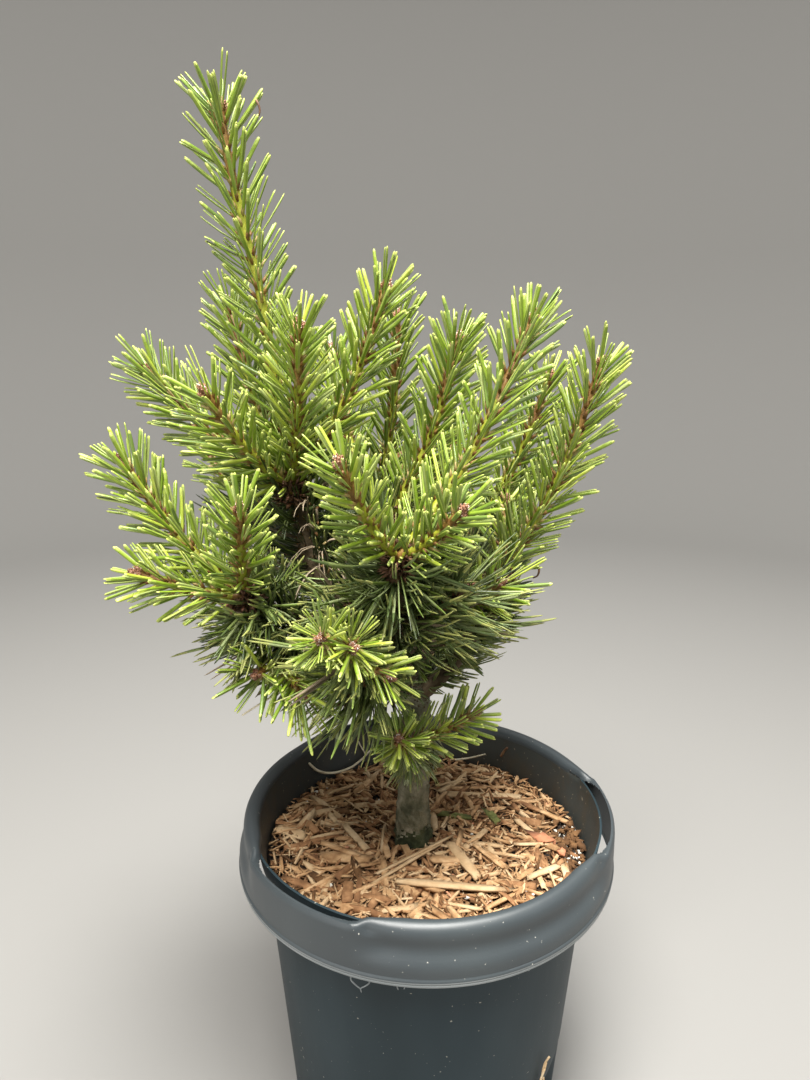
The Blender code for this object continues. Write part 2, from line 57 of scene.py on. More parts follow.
# --------------------------------------------------------------- materials
def lin(c):
    return tuple((v / 12.92 if v <= 0.04045 else ((v + 0.055) / 1.055) ** 2.4)
                 for v in (x / 255.0 for x in c))


def new_mat(name):
    mat = bpy.data.materials.new(name)
    mat.use_nodes = True
    return mat, mat.node_tree.nodes, mat.node_tree.links, \
        mat.node_tree.nodes["Principled BSDF"]


def noise(nodes, links, coord, scale, detail=4.0, rough=0.55, stretch=None):
    n = nodes.new("ShaderNodeTexNoise")
    n.inputs["Scale"].default_value = scale
    n.inputs["Detail"].default_value = detail
    n.inputs["Roughness"].default_value = rough
    if stretch:
        m = nodes.new("ShaderNodeMapping")
        m.inputs["Scale"].default_value = stretch
        links.new(coord, m.inputs["Vector"])
        links.new(m.outputs["Vector"], n.inputs["Vector"])
    else:
        links.new(coord, n.inputs["Vector"])
    return n.outputs["Fac"]


def ramp(nodes, links, fac, stops):
    r = nodes.new("ShaderNodeValToRGB")
    e = r.color_ramp.elements
    while len(e) < len(stops):
        e.new(0.5)
    for k, (at, col) in zip(e, stops):
        k.position = at
        k.color = (*col, 1.0)
    links.new(fac, r.inputs["Fac"])
    return r.outputs["Color"]


def bump(nodes, links, shader, fac, strength, dist, prev=None):
    b = nodes.new("ShaderNodeBump")
    b.inputs["Strength"].default_value = strength
    b.inputs["Distance"].default_value = dist
    links.new(fac, b.inputs["Height"])
    if prev is not None:
        links.new(prev, b.inputs["Normal"])
    links.new(b.outputs["Normal"], shader.inputs["Normal"])
    return b.outputs["Normal"]


def natural(name, tones, scale, rough, bump_scale, bump_dist, stretch=None,
            spec=0.5, detail=4.0, strength=0.6):
    """A material whose colour wanders through tones, with a fine relief."""
    mat, nodes, links, shader = new_mat(name)
    co = nodes.new("ShaderNodeTexCoord").outputs["Object"]
    n = noise(nodes, links, co, scale, detail, 0.6, stretch)
    k = len(tones)
    stops = [(0.3 + 0.4 * i / max(1, k - 1), lin(t)) for i, t in enumerate(tones)]
    links.new(ramp(nodes, links, n, stops), shader.inputs["Base Color"])
    shader.inputs["Roughness"].default_value = rough
    shader.inputs["Specular IOR Level"].default_value = spec
    fine = noise(nodes, links, co, bump_scale, 6.0, 0.65, stretch)
    bump(nodes, links, shader, fine, strength, bump_dist)
    return mat


YOUNG_TONES = [
    natural("needle_fresh", [(103, 129, 33), (121, 144, 41), (140, 160, 53)], 60, 0.33, 900, 0.00015, spec=0.55),
    natural("needle_mid", [(82, 107, 27), (101, 125, 34), (117, 140, 43)], 60, 0.33, 900, 0.00015, spec=0.55),
    natural("needle_blue", [(88, 111, 48), (106, 129, 59), (122, 144, 70)], 60, 0.34, 900, 0.00015, spec=0.55),
    natural("needle_tip", [(158, 171, 80), (175, 185, 95), (191, 199, 112)], 80, 0.45, 900, 0.0001),
    natural("needle_inner", [(136, 151, 82), (154, 168, 98), (172, 182, 114)], 80, 0.45, 900, 0.0001),
    natural("needle_bright", [(150, 168, 54), (168, 184, 67), (186, 198, 84)], 60, 0.36, 900, 0.00015, spec=0.55),
    natural("needle_edge", [(127, 148, 58), (145, 164, 70), (162, 179, 83)], 80, 0.38, 900, 0.0001, spec=0.55),
]
OLD_TONES = [
    natural("old_dark", [(38, 48, 18), (52, 63, 25), (66, 76, 33)], 50, 0.38, 900, 0.00015),
    natural("old_blue", [(62, 78, 41), (78, 93, 52), (94, 109, 65)], 50, 0.36, 900, 0.00015, spec=0.55),
    natural("old_green", [(70, 87, 32), (86, 102, 41), (102, 118, 51)], 50, 0.36, 900, 0.00015, spec=0.55),
    natural("old_tip", [(124, 130, 68), (142, 146, 82), (160, 161, 98)], 70, 0.5, 900, 0.0001),
    natural("old_inner", [(112, 125, 78), (130, 142, 94), (148, 158, 110)], 70, 0.5, 900, 0.0001),
    natural("old_dead", [(106, 93, 74), (134, 119, 98), (160, 145, 124)], 70, 0.7, 900, 0.0001),
    natural("old_pale", [(150, 161, 116), (170, 179, 136), (190, 196, 158)], 70, 0.5, 900, 0.0001),
    natural("old_edge", [(100, 116, 60), (119, 134, 75), (137, 150, 90)], 70, 0.45, 900, 0.0001),
    # a lighter copy of old_green, for painted light
    natural("old_painted_light", [(90, 108, 48), (108, 127, 60), (126, 144, 74)], 50, 0.36, 900, 0.00015, spec=0.55),
]
STEM_GREEN = natural("stem_green", [(120, 124, 34), (142, 147, 41), (162, 163, 52)], 110, 0.45, 700, 0.0004)
STEM_BROWN = natural("stem_brown", [(96, 66, 34), (122, 88, 44), (142, 114, 54)], 90, 0.5, 700, 0.0004)
SHEATH = natural("sheath", [(100, 66, 36), (130, 92, 52), (154, 120, 72)], 160, 0.55, 900, 0.0002)
SHEATH_PALE = natural("sheath_pale", [(146, 122, 72), (172, 150, 98), (192, 172, 122)], 160, 0.55, 900, 0.0002)
BUD = natural("bud_scale", [(116, 76, 54), (148, 104, 80), (176, 134, 108)], 220, 0.5, 900, 0.0002)
RESIN = natural("resin", [(192, 168, 150), (214, 196, 182), (230, 218, 208)], 220, 0.35, 900, 0.0002)
SCALE = natural("dry_scale", [(72, 48, 32), (100, 70, 46), (134, 102, 72)], 220, 0.7, 900, 0.0002)
BARK = natural("bark", [(62, 64, 46), (92, 93, 72), (126, 123, 102), (162, 157, 138)], 110, 0.9, 420, 0.0016,
               stretch=(1.0, 1.0, 0.55), detail=8.0, strength=0.9)
BARK_LOW = natural("bark_low", [(24, 30, 15), (42, 50, 26), (66, 72, 44), (96, 96, 70)], 90, 0.92, 420, 0.0014,
                   stretch=(1.0, 1.0, 0.55), detail=8.0, strength=0.9)
BOUGH = natural("bough_bark", [(58, 48, 36), (88, 74, 54), (118, 102, 78)], 90, 0.85, 500, 0.0008,
                detail=8.0, strength=0.9)
CHIP_TONES = [
    natural("chip_tan", [(136, 100, 66), (174, 138, 99), (203, 169, 129)], 110, 0.85, 420, 0.0006, spec=0.3),
    natural("chip_cream", [(170, 138, 101), (190, 161, 124), (208, 183, 148)], 70, 0.85, 420, 0.0005, spec=0.3),
    natural("chip_brown", [(106, 73, 48), (140, 102, 69), (168, 129, 92)], 110, 0.88, 420, 0.0006, spec=0.3),
    natural("chip_dark", [(72, 49, 29), (98, 69, 43), (124, 92, 59)], 110, 0.9, 420, 0.0006, spec=0.3),
    natural("chip_red", [(164, 104, 72), (190, 130, 96), (210, 160, 126)], 45, 0.85, 260, 0.0004),
    natural("chip_moss", [(66, 70, 32), (96, 100, 50), (136, 136, 84)], 160, 0.9, 500, 0.0006),
    natural("perlite", [(184, 180, 168), (204, 201, 190), (222, 219, 210)], 300, 0.8, 900, 0.0004),
]
MIX = natural("potting_mix", [(18, 13, 9), (34, 24, 16), (58, 41, 27)], 120, 0.95, 500, 0.0015, detail=8.0, strength=1.0)
DRY = natural("dry_needle", [(190, 178, 150), (214, 204, 178), (232, 226, 206)], 120, 0.6, 900, 0.0002)
ROOT = natural("root", [(176, 146, 108), (206, 180, 142), (222, 202, 170)], 200, 0.8, 900, 0.0003)


def plastic(name, tones, rough, dust_tone, dust_at, streak=0.25, streak_size=0.0006, dirt=None,
            spec=0.5):
    """Slate grey moulding: faint streaks down the wall, dust and scuffs."""
    mat, nodes, links, shader = new_mat(name)
    co = nodes.new("ShaderNodeTexCoord").outputs["Object"]
    wide = noise(nodes, links, co, 9.0, 3.0, 0.5, (1.0, 1.0, 0.35))
    base = ramp(nodes, links, wide, [(0.3, lin(tones[0])), (0.5, lin(tones[1])), (0.7, lin(tones[2]))])
    if dirt:
        # dried splashes of mix, thicker lower down
        patch = noise(nodes, links, co, 55.0, 8.0, 0.7, (1.0, 1.0, 0.6))
        amount = nodes.new("ShaderNodeMapRange")
        amount.inputs["From Min"].default_value = 0.47
        amount.inputs["From Max"].default_value = 0.62
        amount.inputs["To Max"].default_value = 0.5
        links.new(patch, amount.inputs["Value"])
        m0 = nodes.new("ShaderNodeMix")
        m0.data_type = "RGBA"
        m0.inputs["B"].default_value = (*lin(dirt), 1.0)
        links.new(amount.outputs["Result"], m0.inputs["Factor"])
        links.new(base, m0.inputs["A"])
        base = m0.outputs["Result"]
    dust_n = noise(nodes, links, co, 420.0, 2.0, 0.4)
    dust = nodes.new("ShaderNodeMapRange")
    dust.inputs["From Min"].default_value = dust_at
    dust.inputs["From Max"].default_value = dust_at + 0.045
    links.new(dust_n, dust.inputs["Value"])
    mixc = nodes.new("ShaderNodeMix")
    mixc.data_type = "RGBA"
    mixc.inputs["B"].default_value = (*lin(dust_tone), 1.0)
    links.new(dust.outputs["Result"], mixc.inputs["Factor"])
    links.new(base, mixc.inputs["A"])
    links.new(mixc.outputs["Result"], shader.inputs["Base Color"])
    rough_n = noise(nodes, links, co, 26.0, 5.0, 0.6, (1.0, 1.0, 0.3))
    rr = nodes.new("ShaderNodeMapRange")
    rr.inputs["To Min"].default_value = rough[0]
    rr.inputs["To Max"].default_value = rough[1]
    links.new(rough_n, rr.inputs["Value"])
    links.new(rr.outputs["Result"], shader.inputs["Roughness"])
    shader.inputs["Specular IOR Level"].default_value = spec
    f = noise(nodes, links, co, 60.0, 6.0, 0.6, (1.0, 1.0, 0.25))
    n1 = bump(nodes, links, shader, f, streak, streak_size)
    g = noise(nodes, links, co, 1200.0, 2.0, 0.5)
    bump(nodes, links, shader, g, 0.25, 0.0001, n1)
    return mat


# the wall below the collar is the collar's plastic in darker tones: painted shade under the collar
POT_WALL_PAINTED_SHADE = plastic("pot_wall_painted_shade", ((23, 37, 42), (32, 46, 52), (42, 56, 62)), (0.46, 0.64), (150, 148, 138), 0.735,
                   spec=0.28)
POT_COLLAR = plastic("pot_collar", ((42, 49, 53), (51, 58, 62), (61, 68, 71)), (0.40, 0.52), (190, 188, 178), 0.745,
                     spec=0.7)
POT_INSIDE = plastic("pot_inside", ((44, 48, 47), (52, 56, 54), (62, 65, 61)), (0.5, 0.66), (120, 112, 96), 0.70,
                     dirt=(62, 54, 41))
# pale grey of the threads of flash, and a painted highlight along the lip's two beads
POT_FLASH_AND_PAINTED_HIGHLIGHT = plastic("pot_flash_and_painted_highlight", ((104, 110, 112), (122, 128, 130), (140, 145, 146)), (0.32, 0.45), (190, 188, 180), 0.76)


# ------------------------------------------------------------ mesh building
class Pile:
    """Joined small meshes: arrays of vertices and of triangles or quads."""

    def __init__(self):
        self.v, self.f, self.m, self.n = [], [], [], 0

    def add(self, verts, faces, mats):
        """verts (n,3), faces (k,4) with -1 in the last place for triangles."""
        self.v.append(np.asarray(verts, np.float32).reshape(-1, 3))
        f = np.asarray(faces, np.int64).copy()
        f[f >= 0] += self.n
        self.f.append(f)
        self.m.append(np.broadcast_to(np.asarray(mats, np.int32), (len(f),)).copy())
        self.n += len(self.v[-1])

    def triangles(self):
        f = np.concatenate(self.f)
        return int((f[:, 3] >= 0).sum() * 2 + (f[:, 3] < 0).sum())

    def build(self, name, mats, smooth=True):
        v, f, m = np.concatenate(self.v), np.concatenate(self.f), np.concatenate(self.m)
        mesh = bpy.data.meshes.new(name)
        sizes = np.where(f[:, 3] >= 0, 4, 3).astype(np.int32)
        loops = f[f >= 0].astype(np.int32) if (sizes == 4).all() else \
            np.concatenate([r[:k] for r, k in zip(f, sizes)]).astype(np.int32)
        mesh.vertices.add(len(v))
        mesh.vertices.foreach_set("co", v.ravel())
        mesh.loops.add(len(loops))
        mesh.loops.foreach_set("vertex_index", loops)
        mesh.polygons.add(len(sizes))
        starts = np.concatenate([[0], np.cumsum(sizes)[:-1]]).astype(np.int32)
        mesh.polygons.foreach_set("loop_start", starts)
        mesh.polygons.foreach_set("loop_total", sizes)
        mesh.polygons.foreach_set("material_index", m)
        mesh.update(calc_edges=True)
        mesh.validate()
        for mat in mats:
            mesh.materials.append(mat)
        if smooth:
            mesh.shade_smooth()
        ob = bpy.data.objects.new(name, mesh)
        bpy.context.scene.collection.objects.link(ob)
        return ob


def ring_faces(rings, sides, start=0, closed_tip=False, closed_base=False):
    """Quads between rings, with an optional tip and base fan of triangles."""
    out = []
    for i in range(rings - 1):
        for j in range(sides):
            k = (j + 1) % sides
            out.append((start + i * sides + j, start + i * sides + k,
                        start + (i + 1) * sides + k, start + (i + 1) * sides + j))
    n = start + rings * sides
    if closed_tip:
        for j in range(sides):
            out.append((start + (rings - 1) * sides + j,
                        start + (rings - 1) * sides + (j + 1) % sides, n, -1))
        n += 1
    if closed_base:
        for j in range(sides):
            out.append((start + (j + 1) % sides, start + j, n, -1))
    return np.array(out, np.int64)


def unit(a):
    a = np.asarray(a, float)
    return a / np.maximum(1e-12, np.linalg.norm(a, axis=-1, keepdims=True))


def perp(t):
    """Any unit vectors square to t."""
    t = np.atleast_2d(t)
    ref = np.where(np.abs(t[:, 2:3]) > 0.9, np.array([[1.0, 0, 0]]), np.array([[0, 0, 1.0]]))
    return unit(np.cross(t, ref))


class Path:
    """A smooth line through points, with frames carried along it."""

    def __init__(self, points, step=1.0):
        p = np.asarray(points, float)
        p = np.vstack([2 * p[0] - p[1], p, 2 * p[-1] - p[-2]])
        fine = []
        for i in range(1, len(p) - 2):
            a, b, c, d = p[i - 1:i + 3]
            t = np.linspace(0, 1, 24, endpoint=False)[:, None]
            fine.append(0.5 * (2 * b + (c - a) * t + (2 * a - 5 * b + 4 * c - d) * t ** 2
                               + (3 * b - a - 3 * c + d) * t ** 3))
        fine = np.vstack(fine + [p[-2:-1]])
        run = np.r_[0, np.cumsum(np.linalg.norm(np.diff(fine, axis=0), axis=1))]
        self.length = run[-1]
        n = max(4, int(self.length / step) + 1)
        self.s = np.linspace(0, self.length, n)
        self.p = np.stack([np.interp(self.s, run, fine[:, k]) for k in range(3)], 1)
        self.t = unit(np.gradient(self.p, axis=0))
        u = [perp(self.t[:1])[0]]
        for i in range(1, n):
            w = u[-1] - self.t[i] * (u[-1] @ self.t[i])
            u.append(w / np.linalg.norm(w))
        self.u = np.array(u)
        self.w = np.cross(self.t, self.u)

    def at(self, s):
        s = np.atleast_1d(s)
        pick = lambda a: np.stack([np.interp(s, self.s, a[:, k]) for k in range(3)], 1)
        return pick(self.p), unit(pick(self.t)), unit(pick(self.u)), unit(pick(self.w))


def smooth01(a, b, x):
    t = np.clip((np.asarray(x, float) - a) / (b - a), 0, 1)
    return t * t * (3 - 2 * t)


def limb_mesh(pile, path, radius, sides, mat, relief=None, step=None, tip=True):
    """A round limb along a path (mm), radius(s) with an optional relief(s, phi)."""
    s = np.linspace(0, path.length, max(4, int(path.length / (step or 1.5)) + 1))
    p, t, u, w = path.at(s)
    phi = np.arange(sides) * TAU / sides
    r = np.asarray(radius(s), float)[:, None] * np.ones(sides)
    if relief is not None:
        r = r + relief(s[:, None], phi[None, :])
    ring = (p[:, None, :] + r[:, :, None] * (u[:, None, :] * np.cos(phi)[None, :, None]
                                             + w[:, None, :] * np.sin(phi)[None, :, None]))
    v = ring.reshape(-1, 3)
    v = np.vstack([v, p[-1:] + t[-1:] * 0.5, p[:1] - t[:1] * 0.3])
    f = ring_faces(len(s), sides, closed_tip=True, closed_base=True)
    m = mat(s) if callable(mat) else mat
    if callable(mat):
        m = np.asarray(m)
        m = m if m.ndim == 2 else np.repeat(m[:, None], sides, 1)
        m = np.concatenate([m[:-1].ravel(), m[-1], m[0]])
    pile.add(v * MM, f, m)


# Needle template: half-round section, flat towards its twin, blunt end.
SECT = np.array([(-1.0, 0.02), (-0.78, 0.52), (0.0, 0.8), (0.78, 0.52), (1.0, 0.02), (0.0, -0.16)])
SECT_OLD = np.array([(-1.0, 0.0), (-0.62, 0.66), (0.62, 0.66), (1.0, 0.0), (0.0, -0.14)])


class Template:
    """Rings of one needle: place along it, half width there, and its faces."""

    def __init__(self, places, widths, section, edges, flats):
        self.s, self.w, self.section = np.array(places), np.array(widths), section
        rings, sides = len(places), len(section)
        self.f = ring_faces(rings, sides, closed_tip=True, closed_base=True)
        self.row = np.concatenate([np.repeat(np.arange(rings - 1), sides),
                                   np.full(sides, rings - 1), np.zeros(sides, int)])
        side = np.concatenate([np.tile(np.arange(sides), rings - 1), np.full(2 * sides, 1)])
        self.edge, self.flat = np.isin(side, edges), np.isin(side, flats)


YOUNG = Template((0.0, 0.14, 0.5, 0.82, 0.94, 0.985), (0.5, 0.88, 1.0, 0.98, 0.88, 0.56), SECT, (0, 3), (4, 5))
AGED = Template((0.0, 0.2, 0.5, 0.8, 0.965), (0.5, 0.9, 1.0, 0.88, 0.5), SECT_OLD, (0, 2), (3, 4))


def needles(pile, kind, base, direction, flat, length, width, bend, twist, tone, tip_tone, inner_tone,
            edge_tone=None, curl=None):
    """Joined needles (mm). flat points out of the round side; bend is a vector
    that the needle's end is pulled along, as a share of its length."""
    n = len(base)
    direction, flat = unit(direction), np.asarray(flat, float)
    flat = unit(flat - direction * (flat * direction).sum(1, keepdims=True))
    side = np.cross(direction, flat)
    s = kind.s[None, :, None]
    L = length[:, None, None]

    def line(q):
        out = base[:, None, :] + direction[:, None, :] * (L * q) + bend[:, None, :] * (L * q * q)
        if curl is not None:
            out = out + curl[:, None, :] * (L * q ** 3)
        return out

    centre = line(s)
    a = twist[:, None] * kind.s[None, :]
    ca, sa = np.cos(a)[:, :, None], np.sin(a)[:, :, None]
    x = side[:, None, :] * ca + flat[:, None, :] * sa
    y = -side[:, None, :] * sa + flat[:, None, :] * ca
    half = width[:, None] * 0.5 * kind.w[None, :]
    v = (centre[:, :, None, :]
         + x[:, :, None, :] * (half[:, :, None] * kind.section[None, None, :, 0])[..., None]
         + y[:, :, None, :] * (half[:, :, None] * kind.section[None, None, :, 1])[..., None])
    v = v.reshape(n, -1, 3)
    end = line(np.array([1.0])[None, :, None])[:, 0] + y[:, -1] * (half[:, -1:] * 0.3)
    v = np.concatenate([v, end[:, None, :], base[:, None, :]], 1)
    per = v.shape[1]
    f = kind.f[None, :, :] + np.where(kind.f[None, :, :] >= 0, np.arange(n)[:, None, None] * per, 0)
    m = np.where(kind.flat[None, :], inner_tone[:, None], tone[:, None])
    if edge_tone is not None:
        soft = kind.edge | (kind.row == len(kind.s) - 3)
        m = np.where(soft[None, :] & ~kind.flat[None, :], edge_tone[:, None], m)
    m = np.where(kind.row[None, :] >= len(kind.s) - 2, tip_tone[:, None], m)
    pile.add(v.reshape(-1, 3) * MM, f.reshape(-1, 4), m.ravel())


def sheaths(pile, base, direction, length, radius, mat=0):
    """Short tapered sleeves that hold each pair of needles."""
    n, k = len(base), 5
    d = unit(direction)
    u = perp(d)
    w = np.cross(d, u)
    phi = np.arange(k) * TAU / k
    s = np.array([-0.08, 0.45, 1.0])
    g = np.array([0.92, 1.08, 0.88])
    v = (base[:, None, None, :] + d[:, None, None, :] * (length[:, None, None, None] * s[None, :, None, None])
         + (u[:, None, None, :] * np.cos(phi)[None, None, :, None]
            + w[:, None, None, :] * np.sin(phi)[None, None, :, None])
         * (radius[:, None, None, None] * g[None, :, None, None]))
    v = v.reshape(n, -1, 3)
    v = np.concatenate([v, (base + d * length[:, None])[:, None, :], (base - d * 0.3)[:, None, :]], 1)
    per = v.shape[1]
    F = ring_faces(len(s), k, closed_tip=True, closed_base=True)
    f = F[None] + np.where(F[None] >= 0, np.arange(n)[:, None, None] * per, 0)
    pile.add(v.reshape(-1, 3) * MM, f.reshape(-1, 4), np.repeat(np.broadcast_to(mat, (n,)), len(F)))


# ---------------------------------------------------------------- the plant
# These repeat the named sizes of the part: the trunk's line, the whorls, the
# limbs between them and the bud at the end of every shoot, in mm.
TRUNK_PATH = ((-9, 2, 209), (-8, 2, 262), (-7, 3, 312), (-20, 3, 341),
              (-40, 3, 364), (-59, 3, 388), (-72, 3, 409), (-79, 4, 440),
              (-84, 4, 469), (-91, 4, 520), (-99, 4, 575), (-107, 4, 612),
              (-113, 4, 645), (-117, 4, 674))
WHORL = {
    "top": (-83, -6, 458), "left": (-107, -48, 404), "front": (-18, -64, 431),
    "centre": (-22, 6, 441), "right": (44, -5, 402), "back": (-36, 50, 430),
    "back_left": (-112, 54, 428), "back_right": (36, 50, 424),
    "rear": (-28, 84, 402), "low": (-14, -33, 302),
    "front_low": (-48, -78, 384), "left_low": (-88, -44, 365),
}
LIMBS = {
    "bough_right": (314, "right", 6.0, 3.6, 9),
    "bough_rear": (334, "rear", 5.2, 3.4, 8),
    "bough_front": (345, "front", 5.4, 3.6, 12),
    "bough_left": (374, "left", 5.4, 3.6, 7),
    "bough_centre": (380, "centre", 4.6, 3.2, 8),
    "bough_back": (396, "back", 4.4, 3.2, 6),
    "bough_back_right": (327, "back_right", 4.8, 3.2, 12),
    "bough_back_left": (404, "back_left", 4.6, 3.2, 7),
    "twig_low": (272, "low", 3.8, 2.6, 3),
    "twig_front": (322, "front_low", 3.8, 2.6, 8),
    "twig_left": (352, "left_low", 3.6, 2.4, 6),
}
SHOOTS = {
    "needles_top_front": ("top", -72, -34, 555, 22),
    "needles_top_front_left": ("top", -121, -52, 521, 21),
    "needles_top_left": ("top", -171, 10, 530, 22),
    "needles_top_back_left": ("top", -128, 52, 570, 22),
    "needles_top_right": ("top", -25, 6, 577, 22),
    "needles_left_up": ("left", -176, -30, 480, 22),
    "needles_left_out": ("left", -162, -62, 423, 20),
    "needles_left_front": ("left", -100, -78, 463, 20),
    "needles_front_left": ("front", -46, -98, 490, 20),
    "needles_front_right": ("front", 14, -92, 465, 19),
    "needles_front_up": ("front", 56, -30, 559, 22),
    "needles_centre_up": ("centre", 18, 10, 548, 22),
    "needles_back_up": ("back", -19, 62, 562, 21),
    "needles_back_mid": ("back", -66, 92, 540, 20),
    "needles_right_back_up": ("back_right", 81, 52, 523, 21),
    "needles_right_up": ("right", 101, -6, 534, 22),
    "needles_right_inner": ("right", 53, 30, 446, 17),
    "needles_right_front": ("right", 44, -40, 412, 18),
    "needles_front_low": ("front_low", -52, -110, 402, 22),
    "needles_front_low_right": ("front_low", -22, -94, 376, 19),
    "needles_low_right": ("low", 29, -26, 316, 17),
    "needles_low_front": ("low", -18, -68, 326, 18),
    "needles_left_low": ("left_low", -98, -70, 366, 19),
    "needles_left_low_front": ("left_low", -70, -78, 356, 17),
    "needles_back_left_out": ("back_left", -156, 82, 468, 20),
    "needles_back_left_up": ("back_left", -118, 96, 500, 20),
    "needles_back_left_low": ("back_left", -150, 92, 420, 19),
    "needles_rear_left": ("rear", -62, 138, 474, 20),
    "needles_rear_mid": ("rear", -18, 150, 456, 20),
    "needles_rear_right": ("rear", 28, 128, 478, 20),
    "needles_rear_low": ("rear", -30, 140, 392, 18),
    "needles_back_right_out": ("back_right", 98, 86, 472, 20),
    "needles_back_right_low": ("back_right", 70, 104, 420, 19),
}
OLD_NODES = ("old_needles_left", "old_needles_centre", "old_needles_front",
             "old_needles_right", "old_needles_low", "old_needles_tuft",
             "old_needles_back", "old_needles_back_left")
SOIL_TOP = 208.6

trunk_path = Path(TRUNK_PATH)


def trunk_point(z):
    i = np.searchsorted(trunk_path.p[:, 2], z)
    return trunk_path.p[min(i, len(trunk_path.p) - 1)]


def trunk_radius(z):
    z = np.asarray(z, float)
    f = (z - 209.0) / 260.0
    r = 11.6 * (1 - 0.55 * f) + 2.4 * np.exp(-(z - 209.0) / 9.0)
    r = r + 0.5 * np.exp(-((z - 458.0) / 7.0) ** 2)
    r = r - (r - 3.0) * smooth01(455, 469, z)
    return np.where(z < 469, r, 3.0 - 0.9 * (z - 469) / 205.0)


def limb_path(height, whorl, sag):
    a, b = trunk_point(height), np.array(WHORL[whorl], float)
    out = unit(b - a)
    mid = (a + b) / 2 + np.array([out[0], out[1], -0.8]) * sag
    return Path((a, mid, b))


def shoot_path(whorl, x, y, z):
    a, b = np.array(WHORL[whorl], float), np.array((x, y, z), float)
    run = b - a
    out = np.array([run[0], run[1], 0.0])
    out = unit(out) if np.linalg.norm(out) > 1 else np.zeros(3)
    mid = (a + b) / 2 + (out * 0.8 - np.array([0, 0, 0.5])) * 0.05 * np.linalg.norm(run)
    return Path((a, mid, b))


def wobble(seed, amp, fs, fp):
    """Smooth uneven relief on a limb from a few sines."""
    g = np.random.default_rng(seed)
    terms = [(g.uniform(*fs), g.integers(*fp), g.uniform(0, TAU), g.uniform(0.4, 1.0)) for _ in range(9)]
    return lambda s, p: amp * sum(w * np.sin(a * s + k * p + h) for a, k, h, w in terms) / 3.0


def cushions(amp, rise=1.1, wide=0.5, tall=1.6):
    """Leaf cushions in the golden spiral: small bumps along a limb."""
    def relief(s, p):
        out = np.zeros(np.broadcast(s, p).shape)
        i0 = np.floor(s / rise)
        for k in range(-3, 4):
            i = i0 + k
            d = (p - i * GOLD + math.pi) % TAU - math.pi
            out = np.maximum(out, np.exp(-(d / wide) ** 2 - ((s - i * rise) / tall) ** 2))
        return amp * out
    return relief


# Trunk and boughs, with the relief of the bark.
wood = Pile()
t_rel = wobble(5, 0.55, (0.1, 0.7), (0, 7))
t_fine = wobble(6, 0.7, (0.9, 2.2), (5, 15))


def trunk_relief(s, p):
    z = 209.0 + s
    fade = 1.0 - smooth01(225.0, 262.0, s)
    lobes = 0.08 * np.cos(5 * p + 0.6) * np.clip(1 - s / 31.0, 0, 1) * 12.0
    return (t_rel(s, p) + t_fine(s, p)) * fade + lobes * fade + cushions(0.8, 2.4, 0.26, 1.3)(s, p) * fade


def trunk_r(s):
    _p = trunk_path.at(s)[0]
    return trunk_radius(_p[:, 2])


lower = Path(trunk_path.p[trunk_path.p[:, 2] < 474][::6])


def mossy_foot(s):
    """The dark mossy foot of the trunk, with a ragged upper edge, and the
    browner bark higher up."""
    g = np.random.default_rng(17)
    a = np.arange(44) * TAU / 44
    edge = 10.5 + 3.0 * np.sin(2 * a + 0.4) + 1.8 * np.sin(5 * a + 1.0)
    high = 118.0 + g.normal(0, 9.0, (len(s), 44))
    return np.where(s[:, None] < edge + g.normal(0, 2.0, (len(s), 44)), 2, np.where(s[:, None] > high, 1, 0))


limb_mesh(wood, lower, lambda s: trunk_radius(lower.at(s)[0][:, 2]), 44, mossy_foot, trunk_relief, 1.1)
limb_paths = {}
for i, (name, (h, whorl, r0, r1, sag)) in enumerate(LIMBS.items()):
    path = limb_path(h, whorl, sag)
    limb_paths[name] = path
    rad = lambda s, path=path, r0=r0, r1=r1: r0 + (r1 - r0) * (s / path.length) ** 0.8
    rel = wobble(20 + i, 0.22, (0.3, 1.4), (0, 6))
    cu = cushions(0.5, 1.9, 0.4, 1.1)
    limb_mesh(wood, path, rad, 20, 1, lambda s, p, rel=rel, cu=cu: rel(s, p) + cu(s, p), 0.9)
wood_ob = wood.build("trunk_and_boughs", [BARK, BOUGH, BARK_LOW])
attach(wood_ob, "root")
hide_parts("trunk", *LIMBS)

# Young shoots.
stems, sheath_pile, buds = Pile(), Pile(), Pile()


